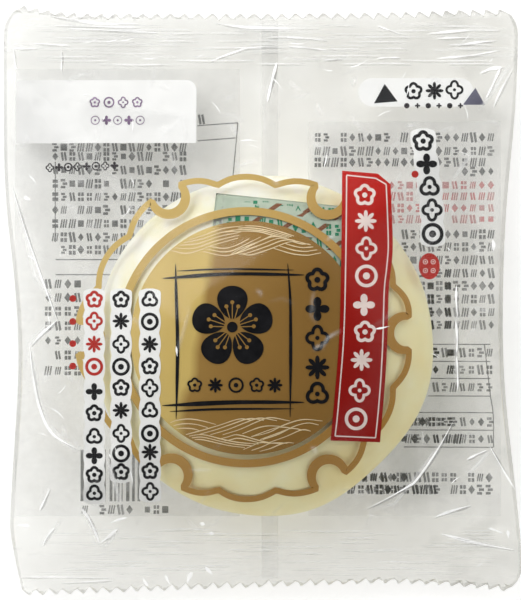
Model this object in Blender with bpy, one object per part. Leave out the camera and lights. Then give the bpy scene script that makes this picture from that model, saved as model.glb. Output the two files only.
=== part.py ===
"""A round steamed bun in its sealed clear film pack, lying on its back.

The pack is a flow-wrapped tube of film with a ribbed, saw-toothed seal at each end.
The film runs straight from where it leaves the bun to the pack's edge, so the outside is
a low tent round a domed disc. X runs across the pack, Y towards its top end, Z up from
the surface it lies on, and the origin is under the middle of its bounding box.
"""

import bpy
import numpy as np

MM = 0.001

# The pack, flat on its back: its width at the seals, and how far the bun draws each side in.
PACK_WIDTH = 105.8 * MM
WAIST_DEPTH = 3.3 * MM
WAIST_REACH_UP = 34 * MM
WAIST_REACH_DOWN = 30 * MM
MIDDLE_SWING = -0.9 * MM
MIDDLE_SWING_Y = 20 * MM
MIDDLE_SWING_REACH = 19 * MM
LOWER_END_SWING = 1.2 * MM
FILM_EDGE = 0.4 * MM

# The end seals: where the film is pressed together, and where the saw-toothed cut runs.
TOP_SEAL_Y = 48.6 * MM
BOTTOM_SEAL_Y = -49.8 * MM
TOP_CUT_Y = 59.0 * MM
BOTTOM_CUT_Y = -58.3 * MM
TOOTH_COUNT = 36
TOP_LEFT_RISE = 1.8 * MM
TOP_LEFT_REACH = 9 * MM
TOP_RIGHT_RISE = 0.9 * MM
TOP_RIGHT_REACH = 25 * MM
BOTTOM_CROWN_X = 22 * MM
BOTTOM_LEFT_FALL = 2.7 * MM
BOTTOM_RIGHT_FALL = 2.0 * MM
TOOTH_DEPTH = 1.6 * MM
RIB_COUNT = 5
RIB_RISE = 0.25 * MM
END_WAVE = 0.5 * MM
CORNER_CUT = 1.8 * MM
CORNER_REACH = 5.0 * MM
CORNER_ROUNDNESS = 2.5
LOWER_LEFT_TAPER = 2.2 * MM
LOWER_LEFT_REACH = 12.0 * MM
LOWER_LEFT_ROUNDNESS = 1.2

# How high the film's edge stands: at each seal, at each cut and at the middle of the sides.
TOP_SEAL_Z = 3.6 * MM
TOP_CUT_Z = 1.6 * MM
BOTTOM_SEAL_Z = 7.0 * MM
BOTTOM_CUT_Z = 4.6 * MM
SIDE_LIFT = 3.6 * MM
SIDE_LIFT_REACH = 24 * MM

# The bun, and the small sachet that lies on its upper half under the film.
BUN_X = 0.6 * MM
BUN_Y = -9.4 * MM
BUN_RADIUS = 34.5 * MM
BUN_BELT_Z = 8.5 * MM
BUN_HEIGHT = 24.0 * MM
BUN_DOME_POWER = 2.4
BUN_FOOT_RADIUS = 26.0 * MM
BACK_RISE_POWER = 1.5
FILM_GAP = 0.3 * MM
SACHET_X = 7.5 * MM
SACHET_Y = 12.5 * MM
SACHET_RISE = 1.4 * MM
SACHET_REACH = 13 * MM

BODY_ROWS = 28
PROFILE_SAMPLES = 60
SHARP_FROM = np.radians(50)

FILM_COLOUR = (0.87, 0.87, 0.84)
FILM_ALPHA = 0.55
FILM_ROUGHNESS = 0.15


def clear_scene():
    for thing in list(bpy.data.objects):
        bpy.data.objects.remove(thing, do_unlink=True)


def smooth_bump(distance, reach):
    return np.exp(-((distance / reach) ** 2))


def lower_corners(y):
    """How far the lower left and lower right corners are cut back at a height y."""
    below = BOTTOM_CUT_Y - y
    left = LOWER_LEFT_TAPER * np.clip(below / LOWER_LEFT_REACH + 1, 0, 1.2) ** LOWER_LEFT_ROUNDNESS
    right = CORNER_CUT * np.clip(below / CORNER_REACH + 1, 0, 1.2) ** CORNER_ROUNDNESS
    return left, right


def centre_line(y):
    """The pack's middle, which swings to the left above the bun and to the right at the lower end."""
    below = np.clip(y / BOTTOM_CUT_Y, 0, 1)
    swing = MIDDLE_SWING * smooth_bump(y - MIDDLE_SWING_Y, MIDDLE_SWING_REACH)
    left, right = lower_corners(y)
    return swing + LOWER_END_SWING * below**2 + (left - right) / 2


def half_width(y):
    """Half the pack's width, drawn in round the bun and cut back at the corners."""
    from_waist = y - BUN_Y
    reach = np.where(from_waist > 0, WAIST_REACH_UP, WAIST_REACH_DOWN)
    width = PACK_WIDTH / 2 - WAIST_DEPTH * smooth_bump(from_waist, reach)
    past_top = np.clip((y - TOP_CUT_Y) / CORNER_REACH + 1, 0, 1.2)
    left, right = lower_corners(y)
    return width - CORNER_CUT * past_top**CORNER_ROUNDNESS - (left + right) / 2


def top_cut(x):
    """The tips of the teeth at the top end, which rise towards both corners."""
    left = TOP_LEFT_RISE * smooth_bump(x + PACK_WIDTH / 2, TOP_LEFT_REACH)
    right = TOP_RIGHT_RISE * smooth_bump(x - PACK_WIDTH / 2, TOP_RIGHT_REACH)
    return TOP_CUT_Y + left + right


def bottom_cut(x):
    """The tips of the teeth at the bottom end, a shallow arch that leans to the right."""
    left = np.maximum(BOTTOM_CROWN_X - x, 0) / (BOTTOM_CROWN_X + PACK_WIDTH / 2)
    right = np.maximum(x - BOTTOM_CROWN_X, 0) / (PACK_WIDTH / 2 - BOTTOM_CROWN_X)
    return BOTTOM_CUT_Y - BOTTOM_LEFT_FALL * left - BOTTOM_RIGHT_FALL * right**2


def bun_top(x, y):
    """The height of the bun's skin, with the sachet's swelling on it."""
    radius = np.hypot(x - BUN_X, y - BUN_Y)
    dome = np.sqrt(np.maximum(1 - (radius / BUN_RADIUS) ** BUN_DOME_POWER, 0))
    height = BUN_BELT_Z + (BUN_HEIGHT - BUN_BELT_Z) * dome
    from_sachet = np.hypot(x - SACHET_X, y - SACHET_Y)
    return height + SACHET_RISE * smooth_bump(from_sachet, SACHET_REACH) * np.sqrt(dome)


def edge_height(y):
    """The height at which the front and back film meet, along the sides and at the seals."""
    along = (y - BOTTOM_SEAL_Y) / (TOP_SEAL_Y - BOTTOM_SEAL_Y)
    level = BOTTOM_SEAL_Z + (TOP_SEAL_Z - BOTTOM_SEAL_Z) * along
    return level + SIDE_LIFT * smooth_bump(y - BUN_Y, SIDE_LIFT_REACH)


def reach_of(x, y):
    """How far out a point lies, from 0 at the bun's middle to 1 at the pack's edge."""
    across = x - BUN_X
    along = y - BUN_Y
    right_side = centre_line(y) + half_width(y) - BUN_X
    left_side = BUN_X - centre_line(y) + half_width(y)
    to_side = np.abs(across) / np.where(across > 0, right_side, left_side)
    to_end = np.abs(along) / np.where(along > 0, TOP_SEAL_Y - BUN_Y, BUN_Y - BOTTOM_SEAL_Y)
    return np.maximum(np.maximum(to_side, to_end), 1e-6)


def film_between_seals(x, y):
    """(front height, back height): straight lines from the pack's edge, tangent to the bun."""
    reach = reach_of(x, y)
    across = x - BUN_X
    along = y - BUN_Y
    radius = np.maximum(np.hypot(across, along), 1e-9)
    edge_radius = radius / reach
    edge_z = edge_height(BUN_Y + along / reach)
    samples = np.linspace(0, 0.995, PROFILE_SAMPLES) * BUN_RADIUS
    steepest = np.full(np.shape(x), -np.inf)
    leaves_at = np.zeros(np.shape(x))
    for sample in samples:
        skin = bun_top(BUN_X + across / radius * sample, BUN_Y + along / radius * sample)
        slope = (skin + FILM_GAP - edge_z) / (edge_radius - sample)
        better = slope > steepest
        steepest = np.where(better, slope, steepest)
        leaves_at = np.where(better, sample, leaves_at)
    straight = edge_z + steepest * (edge_radius - radius)
    front = np.where(radius < leaves_at, bun_top(x, y) + FILM_GAP, straight)
    outward = np.clip((radius - BUN_FOOT_RADIUS) / (edge_radius - BUN_FOOT_RADIUS), 0, 1)
    back = edge_z * outward**BACK_RISE_POWER
    return front, back


def seal_height(inner_z, cut_z, share, x):
    """The middle of the sealed film, from its inner line to the cut, with its pressed ribs."""
    ribs = RIB_RISE * np.sin(share * 2 * np.pi * RIB_COUNT)
    wave = END_WAVE * np.sin(x / PACK_WIDTH * 4 * np.pi) * share
    return inner_z + (cut_z - inner_z) * share + ribs + wave


def row_points():
    """Rows of (x, y, front, back), from the bottom seal's valleys to the top seal's valleys."""
    across = np.linspace(-1, 1, TOOTH_COUNT + 1)
    rib_steps = np.linspace(0, 1, 2 * RIB_COUNT + 1)
    rows = []

    def sealed_row(share, seal_y, cut, inner_z, cut_z):
        nominal = seal_y + (cut(0.0) - seal_y) * share
        x = centre_line(nominal) + across * half_width(nominal)
        depth = TOOTH_DEPTH * np.sign(cut(0.0) - seal_y)
        y = seal_y + (cut(x) - depth - seal_y) * share
        x = centre_line(y) + across * half_width(y)
        middle = seal_height(inner_z, cut_z, share, x)
        return x, y, middle + FILM_EDGE / 2, middle - FILM_EDGE / 2

    for share in rib_steps[:0:-1]:
        rows.append(sealed_row(share, BOTTOM_SEAL_Y, bottom_cut, BOTTOM_SEAL_Z, BOTTOM_CUT_Z))
    for y in np.linspace(BOTTOM_SEAL_Y, TOP_SEAL_Y, BODY_ROWS + 1):
        x = centre_line(y) + across * half_width(y)
        front, back = film_between_seals(x, np.full_like(x, y))
        back = np.maximum(back - FILM_EDGE / 2, 0)
        rows.append((x, np.full_like(x, y), front + FILM_EDGE / 2, back))
    for share in rib_steps[1:]:
        rows.append(sealed_row(share, TOP_SEAL_Y, top_cut, TOP_SEAL_Z, TOP_CUT_Z))
    return rows


def tip_points(valleys, cut):
    """The tips of the teeth, each between two valleys of the outermost row."""
    x = (valleys[0][:-1] + valleys[0][1:]) / 2
    front = (valleys[2][:-1] + valleys[2][1:]) / 2
    back = (valleys[3][:-1] + valleys[3][1:]) / 2
    return x, cut(x), front, back


def pack_mesh():
    """One closed skin: front, back, side walls and the walls of the teeth."""
    rows = row_points()
    tips_low = tip_points(rows[0], bottom_cut)
    tips_high = tip_points(rows[-1], top_cut)
    points = []

    def add_layer(height_index):
        indexed = []
        for row in [*rows, tips_low, tips_high]:
            start = len(points)
            points.extend(zip(row[0], row[1], row[height_index]))
            indexed.append(range(start, len(points)))
        return indexed

    front = add_layer(2)
    back = add_layer(3)
    faces = []
    row_count = len(rows)
    for r in range(row_count - 1):
        for c in range(TOOTH_COUNT):
            faces.append((front[r][c], front[r][c + 1], front[r + 1][c + 1], front[r + 1][c]))
            faces.append((back[r][c], back[r + 1][c], back[r + 1][c + 1], back[r][c + 1]))
        for column in (0, TOOTH_COUNT):
            wall = (front[r][column], front[r + 1][column], back[r + 1][column], back[r][column])
            faces.append(wall if column == 0 else wall[::-1])
    for valleys, tips, turn in ((0, row_count, -1), (row_count - 1, row_count + 1, 1)):
        for c in range(TOOTH_COUNT):
            left, right, tip = front[valleys][c], front[valleys][c + 1], front[tips][c]
            low_left, low_right, low_tip = back[valleys][c], back[valleys][c + 1], back[tips][c]
            tooth = [
                (left, right, tip),
                (low_left, low_tip, low_right),
                (left, tip, low_tip, low_left),
                (tip, right, low_right, low_tip),
            ]
            faces.extend(face[::turn] for face in tooth)
    return points, faces


def film_material():
    material = bpy.data.materials.new("clear_film")
    material.use_nodes = True
    shader = material.node_tree.nodes["Principled BSDF"]
    shader.inputs["Base Color"].default_value = (*FILM_COLOUR, 1)
    shader.inputs["Alpha"].default_value = FILM_ALPHA
    shader.inputs["Roughness"].default_value = FILM_ROUGHNESS
    shader.inputs["Metallic"].default_value = 0.0
    return material


def centred_over_origin(points):
    """The points, moved so that the middle of their bounding box is over the origin."""
    places = np.array(points)
    middle = (places.min(axis=0) + places.max(axis=0)) / 2
    middle[2] = places[:, 2].min()
    return (places - middle).tolist()


def make_pack():
    points, faces = pack_mesh()
    mesh = bpy.data.meshes.new("sealed_bun_pack")
    mesh.from_pydata(centred_over_origin(points), [], faces)
    mesh.shade_smooth()
    mesh.set_sharp_from_angle(angle=SHARP_FROM)
    mesh.materials.append(film_material())
    pack = bpy.data.objects.new("sealed_bun_pack", mesh)
    bpy.context.scene.collection.objects.link(pack)


clear_scene()
make_pack()
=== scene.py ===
import math

import bpy
import numpy as np
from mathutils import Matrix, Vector
from mathutils.bvhtree import BVHTree


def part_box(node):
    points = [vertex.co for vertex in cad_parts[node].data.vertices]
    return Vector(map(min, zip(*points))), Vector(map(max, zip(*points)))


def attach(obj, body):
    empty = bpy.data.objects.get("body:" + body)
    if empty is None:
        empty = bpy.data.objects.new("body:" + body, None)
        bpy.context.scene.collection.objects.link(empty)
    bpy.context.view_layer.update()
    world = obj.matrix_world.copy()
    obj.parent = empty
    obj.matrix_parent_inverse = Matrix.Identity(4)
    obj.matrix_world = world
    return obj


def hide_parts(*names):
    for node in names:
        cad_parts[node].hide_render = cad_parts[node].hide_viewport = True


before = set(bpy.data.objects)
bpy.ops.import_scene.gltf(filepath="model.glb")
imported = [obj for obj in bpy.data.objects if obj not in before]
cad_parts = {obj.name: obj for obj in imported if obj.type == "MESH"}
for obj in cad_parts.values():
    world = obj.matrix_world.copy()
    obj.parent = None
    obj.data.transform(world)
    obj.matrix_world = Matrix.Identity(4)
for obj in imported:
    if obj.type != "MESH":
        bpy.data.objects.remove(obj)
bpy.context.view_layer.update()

# The film: one sheet of clear printed plastic, folded into a tube round the bun and pressed
# shut between ribbed jaws at each end, where a saw-toothed knife cuts it off. It is pulled
# tight from the bun's shoulder to the seals and sides, so its form is read from the frame.
MM = 0.001
NODE = "sealed_bun_pack"
GRID_STEP = 0.3 * MM
GRID_MARGIN = 3 * MM
FORM_BLUR = 0.9 * MM
FILM_INSET = 0.25 * MM
BACK_CLEARANCE = 0.1 * MM

PACK_HALF_WIDTH = 52.9 * MM
PACK_CENTRE_X = -0.36 * MM
WAIST_Y = -9.3 * MM
WAIST_DEPTH = 3.3 * MM
WAIST_REACH = (30 * MM, 34 * MM)
UPPER_SWING = (-0.9 * MM, 20.1 * MM, 19 * MM)
LOWER_SWING = 1.2 * MM
CORNER_CUT = 1.8 * MM
CORNER_REACH = 5 * MM
LOWER_LEFT_TAPER = 2.2 * MM
LOWER_LEFT_REACH = 12 * MM

TOP_SEAL_Y = 48.7 * MM
TOP_CUT_Y = 59.1 * MM
BOTTOM_SEAL_Y = -49.7 * MM
BOTTOM_CUT_Y = -58.2 * MM
BOTTOM_CROWN_X = 21.6 * MM
TOOTH_COUNT = 36
TOOTH_DEPTH = 1.5 * MM
RIB_PITCH = 1.36 * MM
RIB_RISE = 0.16 * MM


def bump(distance, reach):
    return np.exp(-((distance / reach) ** 2))


def ease(share):
    share = np.clip(share, 0, 1)
    return share * share * (3 - 2 * share)


def lower_corners(y):
    """How far the lower left and lower right corners are cut back at a height y."""
    left = LOWER_LEFT_TAPER * np.clip((BOTTOM_CUT_Y - y) / LOWER_LEFT_REACH + 1, 0, 1.2) ** 1.2
    right = CORNER_CUT * np.clip((BOTTOM_CUT_Y - y) / CORNER_REACH + 1, 0, 1.2) ** 2.5
    return left, right


def pack_centre(y):
    rise, at, reach = UPPER_SWING
    below = np.clip(y / BOTTOM_CUT_Y, 0, 1)
    left, right = lower_corners(y)
    swing = rise * bump(y - at, reach) + LOWER_SWING * below**2
    return PACK_CENTRE_X + swing + (left - right) / 2


def pack_half_width(y):
    reach = np.where(y > WAIST_Y, WAIST_REACH[1], WAIST_REACH[0])
    past_top = np.clip((y - TOP_CUT_Y) / CORNER_REACH + 1, 0, 1.2)
    left, right = lower_corners(y)
    width = PACK_HALF_WIDTH - WAIST_DEPTH * bump(y - WAIST_Y, reach)
    return width - CORNER_CUT * past_top**2.5 - (left + right) / 2


def top_cut(x):
    rises = 1.8 * MM * bump(x + 53.2 * MM, 9 * MM) + 0.9 * MM * bump(x - 52.5 * MM, 25 * MM)
    return TOP_CUT_Y + rises


def bottom_cut(x):
    left = np.maximum(BOTTOM_CROWN_X - x, 0) / (BOTTOM_CROWN_X + PACK_HALF_WIDTH)
    right = np.maximum(x - BOTTOM_CROWN_X, 0) / (PACK_HALF_WIDTH - BOTTOM_CROWN_X)
    return BOTTOM_CUT_Y - 2.7 * MM * left - 2.0 * MM * right**2


def read_form():
    """Two height maps of the frame's solid, seen from above and from below."""
    low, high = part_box(NODE)
    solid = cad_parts[NODE].data
    places = [vertex.co.copy() for vertex in solid.vertices]
    tree = BVHTree.FromPolygons(places, [tuple(face.vertices) for face in solid.polygons])
    xs = np.arange(low.x - GRID_MARGIN, high.x + GRID_MARGIN, GRID_STEP)
    ys = np.arange(low.y - GRID_MARGIN, high.y + GRID_MARGIN, GRID_STEP)
    maps = []
    for start_z, direction in ((0.1, Vector((0, 0, -1))), (-0.1, Vector((0, 0, 1)))):
        heights = np.full((len(ys), len(xs)), np.nan)
        for row, y in enumerate(ys):
            for column, x in enumerate(xs):
                hit = tree.ray_cast(Vector((x, y, start_z)), direction)[0]
                if hit is not None:
                    heights[row, column] = hit.z
        maps.append(blurred(filled(heights), FORM_BLUR / GRID_STEP))
    return xs, ys, maps[0], maps[1]


def filled(heights):
    """The map with its empty cells grown outwards from the nearest full ones."""
    heights = heights.copy()
    while np.isnan(heights).any():
        padded = np.pad(heights, 1, constant_values=np.nan)
        around = np.stack([padded[:-2, 1:-1], padded[2:, 1:-1], padded[1:-1, :-2], padded[1:-1, 2:]])
        known = ~np.isnan(around)
        mean = np.where(known, around, 0).sum(0) / np.maximum(known.sum(0), 1)
        grow = np.isnan(heights) & known.any(0)
        heights[grow] = mean[grow]
    return heights


def blurred(heights, spread):
    reach = int(3 * spread) + 1
    kernel = np.exp(-0.5 * (np.arange(-reach, reach + 1) / spread) ** 2)
    kernel /= kernel.sum()
    for axis in (0, 1):
        padded = np.pad(heights, [(reach, reach) if a == axis else (0, 0) for a in (0, 1)], "edge")
        heights = np.apply_along_axis(np.convolve, axis, padded, kernel, "valid")
    return heights


def sampled(heights, x, y):
    """The height map read between its cells."""
    column = np.clip((x - form_x[0]) / GRID_STEP, 0, len(form_x) - 1.001)
    row = np.clip((y - form_y[0]) / GRID_STEP, 0, len(form_y) - 1.001)
    c, r = column.astype(int), row.astype(int)
    u, v = column - c, row - r
    low_row = heights[r, c] * (1 - u) + heights[r, c + 1] * u
    high_row = heights[r + 1, c] * (1 - u) + heights[r + 1, c + 1] * u
    return low_row * (1 - v) + high_row * v


form_x, form_y, solid_front, solid_back = read_form()
grid_x, grid_y = np.meshgrid(form_x, form_y)

# Creases in the film: each is a fold line of points in millimetres, with how
# high its sharp crest stands and how high the broad slopes beside it stand.
CREASES = [
    ([(-51.2, 23.3), (-48.7, 13.4), (-46.5, 4.8), (-42.8, 0.1), (-42.2, -3.0)], 0.20, 0.5),
    ([(-42.2, -3.0), (-47.9, -9.1), (-46.5, -15.5), (-46.1, -19.6), (-43.6, -25.3)], 0.16, 0.4),
    ([(-43.6, -25.3), (-41.0, -28.6), (-37.9, -30.9)], 0.20, 0.3),
    ([(-32.1, -31.3), (-30.3, -36.8), (-28.9, -42.3)], 0.20, 0.3),
    ([(-37.1, -42.3), (-35.0, -46.2), (-33.6, -50.1)], 0.18, 0.3),
    ([(-32.5, -50.5), (-30.9, -48.7), (-29.7, -47.0)], 0.16, 0.2),
    ([(-45.3, -50.1), (-43.2, -47.5), (-41.4, -45.0)], 0.18, 0.3),
    ([(37.2, -48.1), (44.5, -49.9), (51.5, -51.1)], 0.20, 0.3),
    ([(39.6, 0.1), (39.6, -9.1), (39.4, -17.5)], 0.16, 0.2),
    ([(37.8, -27.4), (34.7, -31.3), (30.4, -37.2), (26.9, -41.5), (21.4, -42.9)], 0.14, 0.5),
    ([(41.7, -35.8), (44.1, -33.3), (46.6, -30.6)], 0.18, 0.4),
    ([(44.5, 39.1), (47.6, 43.6), (50.7, 48.3)], 0.20, 0.3),
    ([(38.6, 24.3), (40.6, 27.2), (42.9, 30.2)], 0.16, 0.2),
    ([(-14.7, -1.7), (-16.1, -6.0), (-17.4, -10.6)], 0.06, 0.35),
    ([(18.7, 45.8), (18.7, 44.0)], 0.15, 0.1),
    ([(-0.2, 49.7), (0.2, 38.0), (0.6, 27.0)], 0.05, 0.35),
    ([(-40.0, 41.5), (-16.0, 37.5), (-22.0, 32.0)], 0.03, 0.45),
]
BUN_AREA = 36
CREST_WIDTH = 0.40 * MM
SLOPE_WIDTH = 3.2 * MM
white_and_glint_map = np.zeros(grid_x.shape)


def distance_to_path(path):
    """Each cell's distance to a path, and how far along the path its nearest point is."""
    nearest = np.full(grid_x.shape, np.inf)
    along = np.zeros(grid_x.shape)
    points = np.array(path) * MM
    lengths = np.hypot(*np.diff(points, axis=0).T)
    run = np.concatenate([[0], np.cumsum(lengths)])
    for index, length in enumerate(lengths):
        start = points[index]
        toward = (points[index + 1] - start) / length
        ahead = (grid_x - start[0]) * toward[0] + (grid_y - start[1]) * toward[1]
        ahead = np.clip(ahead, 0, length)
        away = np.hypot(grid_x - start[0] - ahead * toward[0], grid_y - start[1] - ahead * toward[1])
        closer = away < nearest
        nearest = np.where(closer, away, nearest)
        along = np.where(closer, (run[index] + ahead) / run[-1], along)
    return nearest, along


def crease_relief():
    relief = np.zeros(grid_x.shape)
    for path, crest, slope in CREASES:
        away, along = distance_to_path(path)
        fade = np.sin(np.pi * np.clip(along, 0.02, 0.98)) ** 0.5
        relief += fade * (crest * bump(away, CREST_WIDTH) + slope * np.exp(-away / SLOPE_WIDTH)) * MM
        whiten_with_glint(fade * crest / 0.2 * bump(away, 0.8 * CREST_WIDTH))
    return relief


def whiten_with_glint(amount):
    """Where film is folded or pressed sharply it turns white, which also serves as a painted glint; the
    strongest mark stays.
    """
    np.maximum(white_and_glint_map, np.clip(amount, 0, 1), out=white_and_glint_map)


def small_crinkles(seed, count, crest):
    """Short fold lines scattered over the flanks of the pack and thinned out over the bun."""
    draw = np.random.default_rng(seed)
    relief = np.zeros(grid_x.shape)
    for _ in range(count):
        x, y = draw.uniform(-50, 50), draw.uniform(-50, 48)
        turn, length = draw.uniform(0, math.pi), draw.uniform(2, 7)
        bend = draw.uniform(-0.8, 0.8)
        path = [
            (x + s * length * math.cos(turn + bend * s), y + s * length * math.sin(turn + bend * s))
            for s in (0, 0.5, 1)
        ]
        if math.hypot(x, y - WAIST_Y / MM) < BUN_AREA and draw.random() < 0.7:
            continue
        away, along = distance_to_path(path)
        strength = draw.uniform(0.3, 1)
        relief += crest * strength * MM * np.sin(np.pi * along) * bump(away, CREST_WIDTH)
        whiten_with_glint(0.7 * strength**2 * np.sin(np.pi * along) * bump(away, 0.7 * CREST_WIDTH))
    return relief


def slack_waves(seed, count, height, shortest, longest):
    """Broad, shallow waves of film that isn't quite tight."""
    draw = np.random.default_rng(seed)
    relief = np.zeros(grid_x.shape)
    for _ in range(count):
        turn, phase = draw.uniform(0, math.pi), draw.uniform(0, 2 * math.pi)
        length = draw.uniform(shortest, longest) * MM
        across = grid_x * math.cos(turn) + grid_y * math.sin(turn)
        relief += np.sin(2 * math.pi * across / length + phase) * height * MM / count**0.5
    return relief


def seal_share(y):
    """How far a place lies into an end seal: 0 in the body, 1 at the cut."""
    top = (y - TOP_SEAL_Y) / (TOP_CUT_Y - TOP_SEAL_Y)
    bottom = (BOTTOM_SEAL_Y - y) / (BOTTOM_SEAL_Y - BOTTOM_CUT_Y)
    return np.clip(np.maximum(top, bottom), 0, 1)


def rib_relief(seed):
    """The jaws' ribs, straight across both seals, pressed in unevenly."""
    draw = np.random.default_rng(seed)
    patchy = np.zeros(grid_x.shape)
    for _ in range(7):
        phase, length = draw.uniform(0, 6.3), draw.uniform(12, 60) * MM
        lean = draw.uniform(-0.8, 0.8)
        patchy += np.sin(2 * math.pi * (grid_x + lean * 12 * grid_y) / length + phase)
    patchy = 0.55 + 0.45 * np.tanh(patchy)
    top = np.maximum(grid_y - TOP_SEAL_Y, 0)
    bottom = np.maximum(BOTTOM_SEAL_Y - grid_y, 0)
    wander = 0.25 * MM * np.sin(grid_x / (9 * MM)) + 0.2 * MM * np.sin(grid_x / (4.1 * MM))
    depth = np.where(top > 0, top, bottom) + wander
    strength = np.where(top > 0, 1.0, 0.35)
    within = ease(np.where(top > 0, top, bottom) / (1.2 * MM))
    rib = 0.5 + 0.5 * np.cos(2 * math.pi * depth / RIB_PITCH)
    # Painted glint: the rib crests go into the white map as well.
    whiten_with_glint(0.6 * strength * within * ease((patchy - 0.6) / 0.35) * rib**6)
    return RIB_RISE * strength * patchy * within * rib


over_bun = bump(np.hypot(grid_x, grid_y - WAIST_Y), 30 * MM)
front_relief = crease_relief() + small_crinkles(7, 110, 0.14) * (1 - seal_share(grid_y))
front_relief += slack_waves(3, 9, 0.16, 9, 24) * (1 - 0.8 * over_bun) + rib_relief(11)
back_relief = small_crinkles(19, 70, 0.12) + slack_waves(5, 7, 0.12, 12, 30)
middle_map = (solid_front + solid_back) / 2
front_map = solid_front - FILM_INSET + np.maximum(front_relief, -0.1 * MM)
front_map = np.minimum(front_map, solid_front.max() - 0.02 * MM)
back_map = np.maximum(solid_back + BACK_CLEARANCE + back_relief * 0.5, BACK_CLEARANCE)
back_map = np.minimum(back_map, np.maximum(front_map - 0.25 * MM, BACK_CLEARANCE))

COLUMNS_A_TOOTH = 7
COLUMNS = TOOTH_COUNT * COLUMNS_A_TOOTH
TOP_ROWS = 32
BODY_ROWS = 214
BOTTOM_ROWS = 27
BACK_COARSENESS = 3
TOOTH_REACH = 0.72
EDGE_BLEND = 1.0 * MM


def saw_tooth(columns, seed):
    """How far each column falls short of the tips: knife teeth, a little uneven."""
    draw = np.random.default_rng(seed)
    depths = TOOTH_DEPTH * draw.uniform(0.75, 1.05, TOOTH_COUNT + 1)
    turn = np.abs(2 * ((columns / COLUMNS_A_TOOTH) % 1) - 1)
    tooth = np.minimum((columns / COLUMNS_A_TOOTH).astype(int), TOOTH_COUNT)
    return depths[tooth] * turn


def film_grid():
    """(x, y) for every row and column of the film, from the lower cut to the upper one."""
    columns = np.arange(COLUMNS + 1)
    across = 2 * columns / COLUMNS - 1
    rows = []

    def seal_row(share, seal_y, cut, seed):
        nominal = seal_y + (cut(0.0) - seal_y) * share
        x = pack_centre(nominal) + across * pack_half_width(nominal)
        inward = np.sign(seal_y - cut(0.0))
        near_cut = ease((share - TOOTH_REACH) / (1 - TOOTH_REACH))
        y = seal_y + (cut(x) - seal_y) * share + inward * saw_tooth(columns, seed) * near_cut
        return pack_centre(y) + across * pack_half_width(y), y

    for share in np.linspace(1, 0, BOTTOM_ROWS + 1)[:-1]:
        rows.append(seal_row(share, BOTTOM_SEAL_Y, bottom_cut, 21))
    for y in np.linspace(BOTTOM_SEAL_Y, TOP_SEAL_Y, BODY_ROWS + 1):
        rows.append((pack_centre(y) + across * pack_half_width(y), np.full(COLUMNS + 1, y)))
    for share in np.linspace(0, 1, TOP_ROWS + 1)[1:]:
        rows.append(seal_row(share, TOP_SEAL_Y, top_cut, 22))
    return np.array([row[0] for row in rows]), np.array([row[1] for row in rows])


def border_loop(rows, columns):
    """Grid places round the border, anticlockwise, as (row, column, place along the border)."""
    last_row, last_column = rows[-1], columns[-1]
    loop = [(rows[0], c, c / last_column) for c in columns[:-1]]
    loop += [(r, last_column, 1 + r / last_row) for r in rows[:-1]]
    loop += [(last_row, c, 3 - c / last_column) for c in columns[:0:-1]]
    loop += [(r, 0, 4 - r / last_row) for r in rows[:0:-1]]
    return loop


def film_mesh():
    """The closed envelope: a fine front, a coarser back, and one border that they share."""
    x, y = film_grid()
    row_count, column_count = x.shape
    share_in = np.minimum(np.arange(column_count), np.arange(column_count)[::-1]) * 0.45 * MM
    share_up = np.minimum(np.arange(row_count), np.arange(row_count)[::-1]) * 0.4 * MM
    inside = ease(np.minimum(share_in[None, :], share_up[:, None]) / EDGE_BLEND)
    middle = sampled(middle_map, x, y)
    front_z = middle + (sampled(front_map, x, y) - middle) * inside
    back_z = middle + (sampled(back_map, x, y) - middle) * inside
    points = list(zip(x.ravel(), y.ravel(), front_z.ravel()))
    front = np.arange(x.size).reshape(x.shape)
    faces = [
        (front[r, c], front[r, c + 1], front[r + 1, c + 1], front[r + 1, c])
        for r in range(row_count - 1)
        for c in range(column_count - 1)
    ]
    front_faces = len(faces)
    inner_rows = list(range(BACK_COARSENESS, row_count - 1, BACK_COARSENESS))
    inner_columns = list(range(BACK_COARSENESS, column_count - 1, BACK_COARSENESS))
    back = {}
    for r in inner_rows:
        for c in inner_columns:
            back[r, c] = len(points)
            points.append((x[r, c], y[r, c], back_z[r, c]))
    for r, r_next in zip(inner_rows, inner_rows[1:]):
        for c, c_next in zip(inner_columns, inner_columns[1:]):
            faces.append((back[r, c], back[r_next, c], back[r_next, c_next], back[r, c_next]))
    faces += zipped_border(front, back, row_count, column_count, inner_rows, inner_columns)
    return points, faces, front_faces


def zipped_border(front, back, row_count, column_count, inner_rows, inner_columns):
    """Triangles that join the back's coarse edge to the fine border that it shares with the front."""
    outer = [
        (front[r, c], place)
        for r, c, place in border_loop(range(row_count), range(column_count))
    ]
    inner = []
    count_r, count_c = len(inner_rows) - 1, len(inner_columns) - 1
    for r, c, place in border_loop(range(count_r + 1), range(count_c + 1)):
        inner.append((back[inner_rows[r], inner_columns[c]], place))
    outer.append((outer[0][0], 4.0))
    inner.append((inner[0][0], 4.0))
    faces = []
    o = i = 0
    while o < len(outer) - 1 or i < len(inner) - 1:
        step_outer = i == len(inner) - 1 or (o < len(outer) - 1 and outer[o + 1][1] <= inner[i + 1][1])
        if step_outer:
            faces.append((outer[o][0], inner[i][0], outer[o + 1][0]))
            o += 1
        else:
            faces.append((outer[o][0], inner[i][0], inner[i + 1][0]))
            i += 1
    return faces


def new_piece(name, points, faces, *materials):
    """A mesh object at the origin, smooth, with its materials."""
    mesh = bpy.data.meshes.new(name)
    mesh.from_pydata([tuple(map(float, point)) for point in points], [], [tuple(map(int, f)) for f in faces])
    mesh.shade_smooth()
    for material in materials:
        mesh.materials.append(material)
    piece = bpy.data.objects.new(name, mesh)
    bpy.context.scene.collection.objects.link(piece)
    return piece


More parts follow.
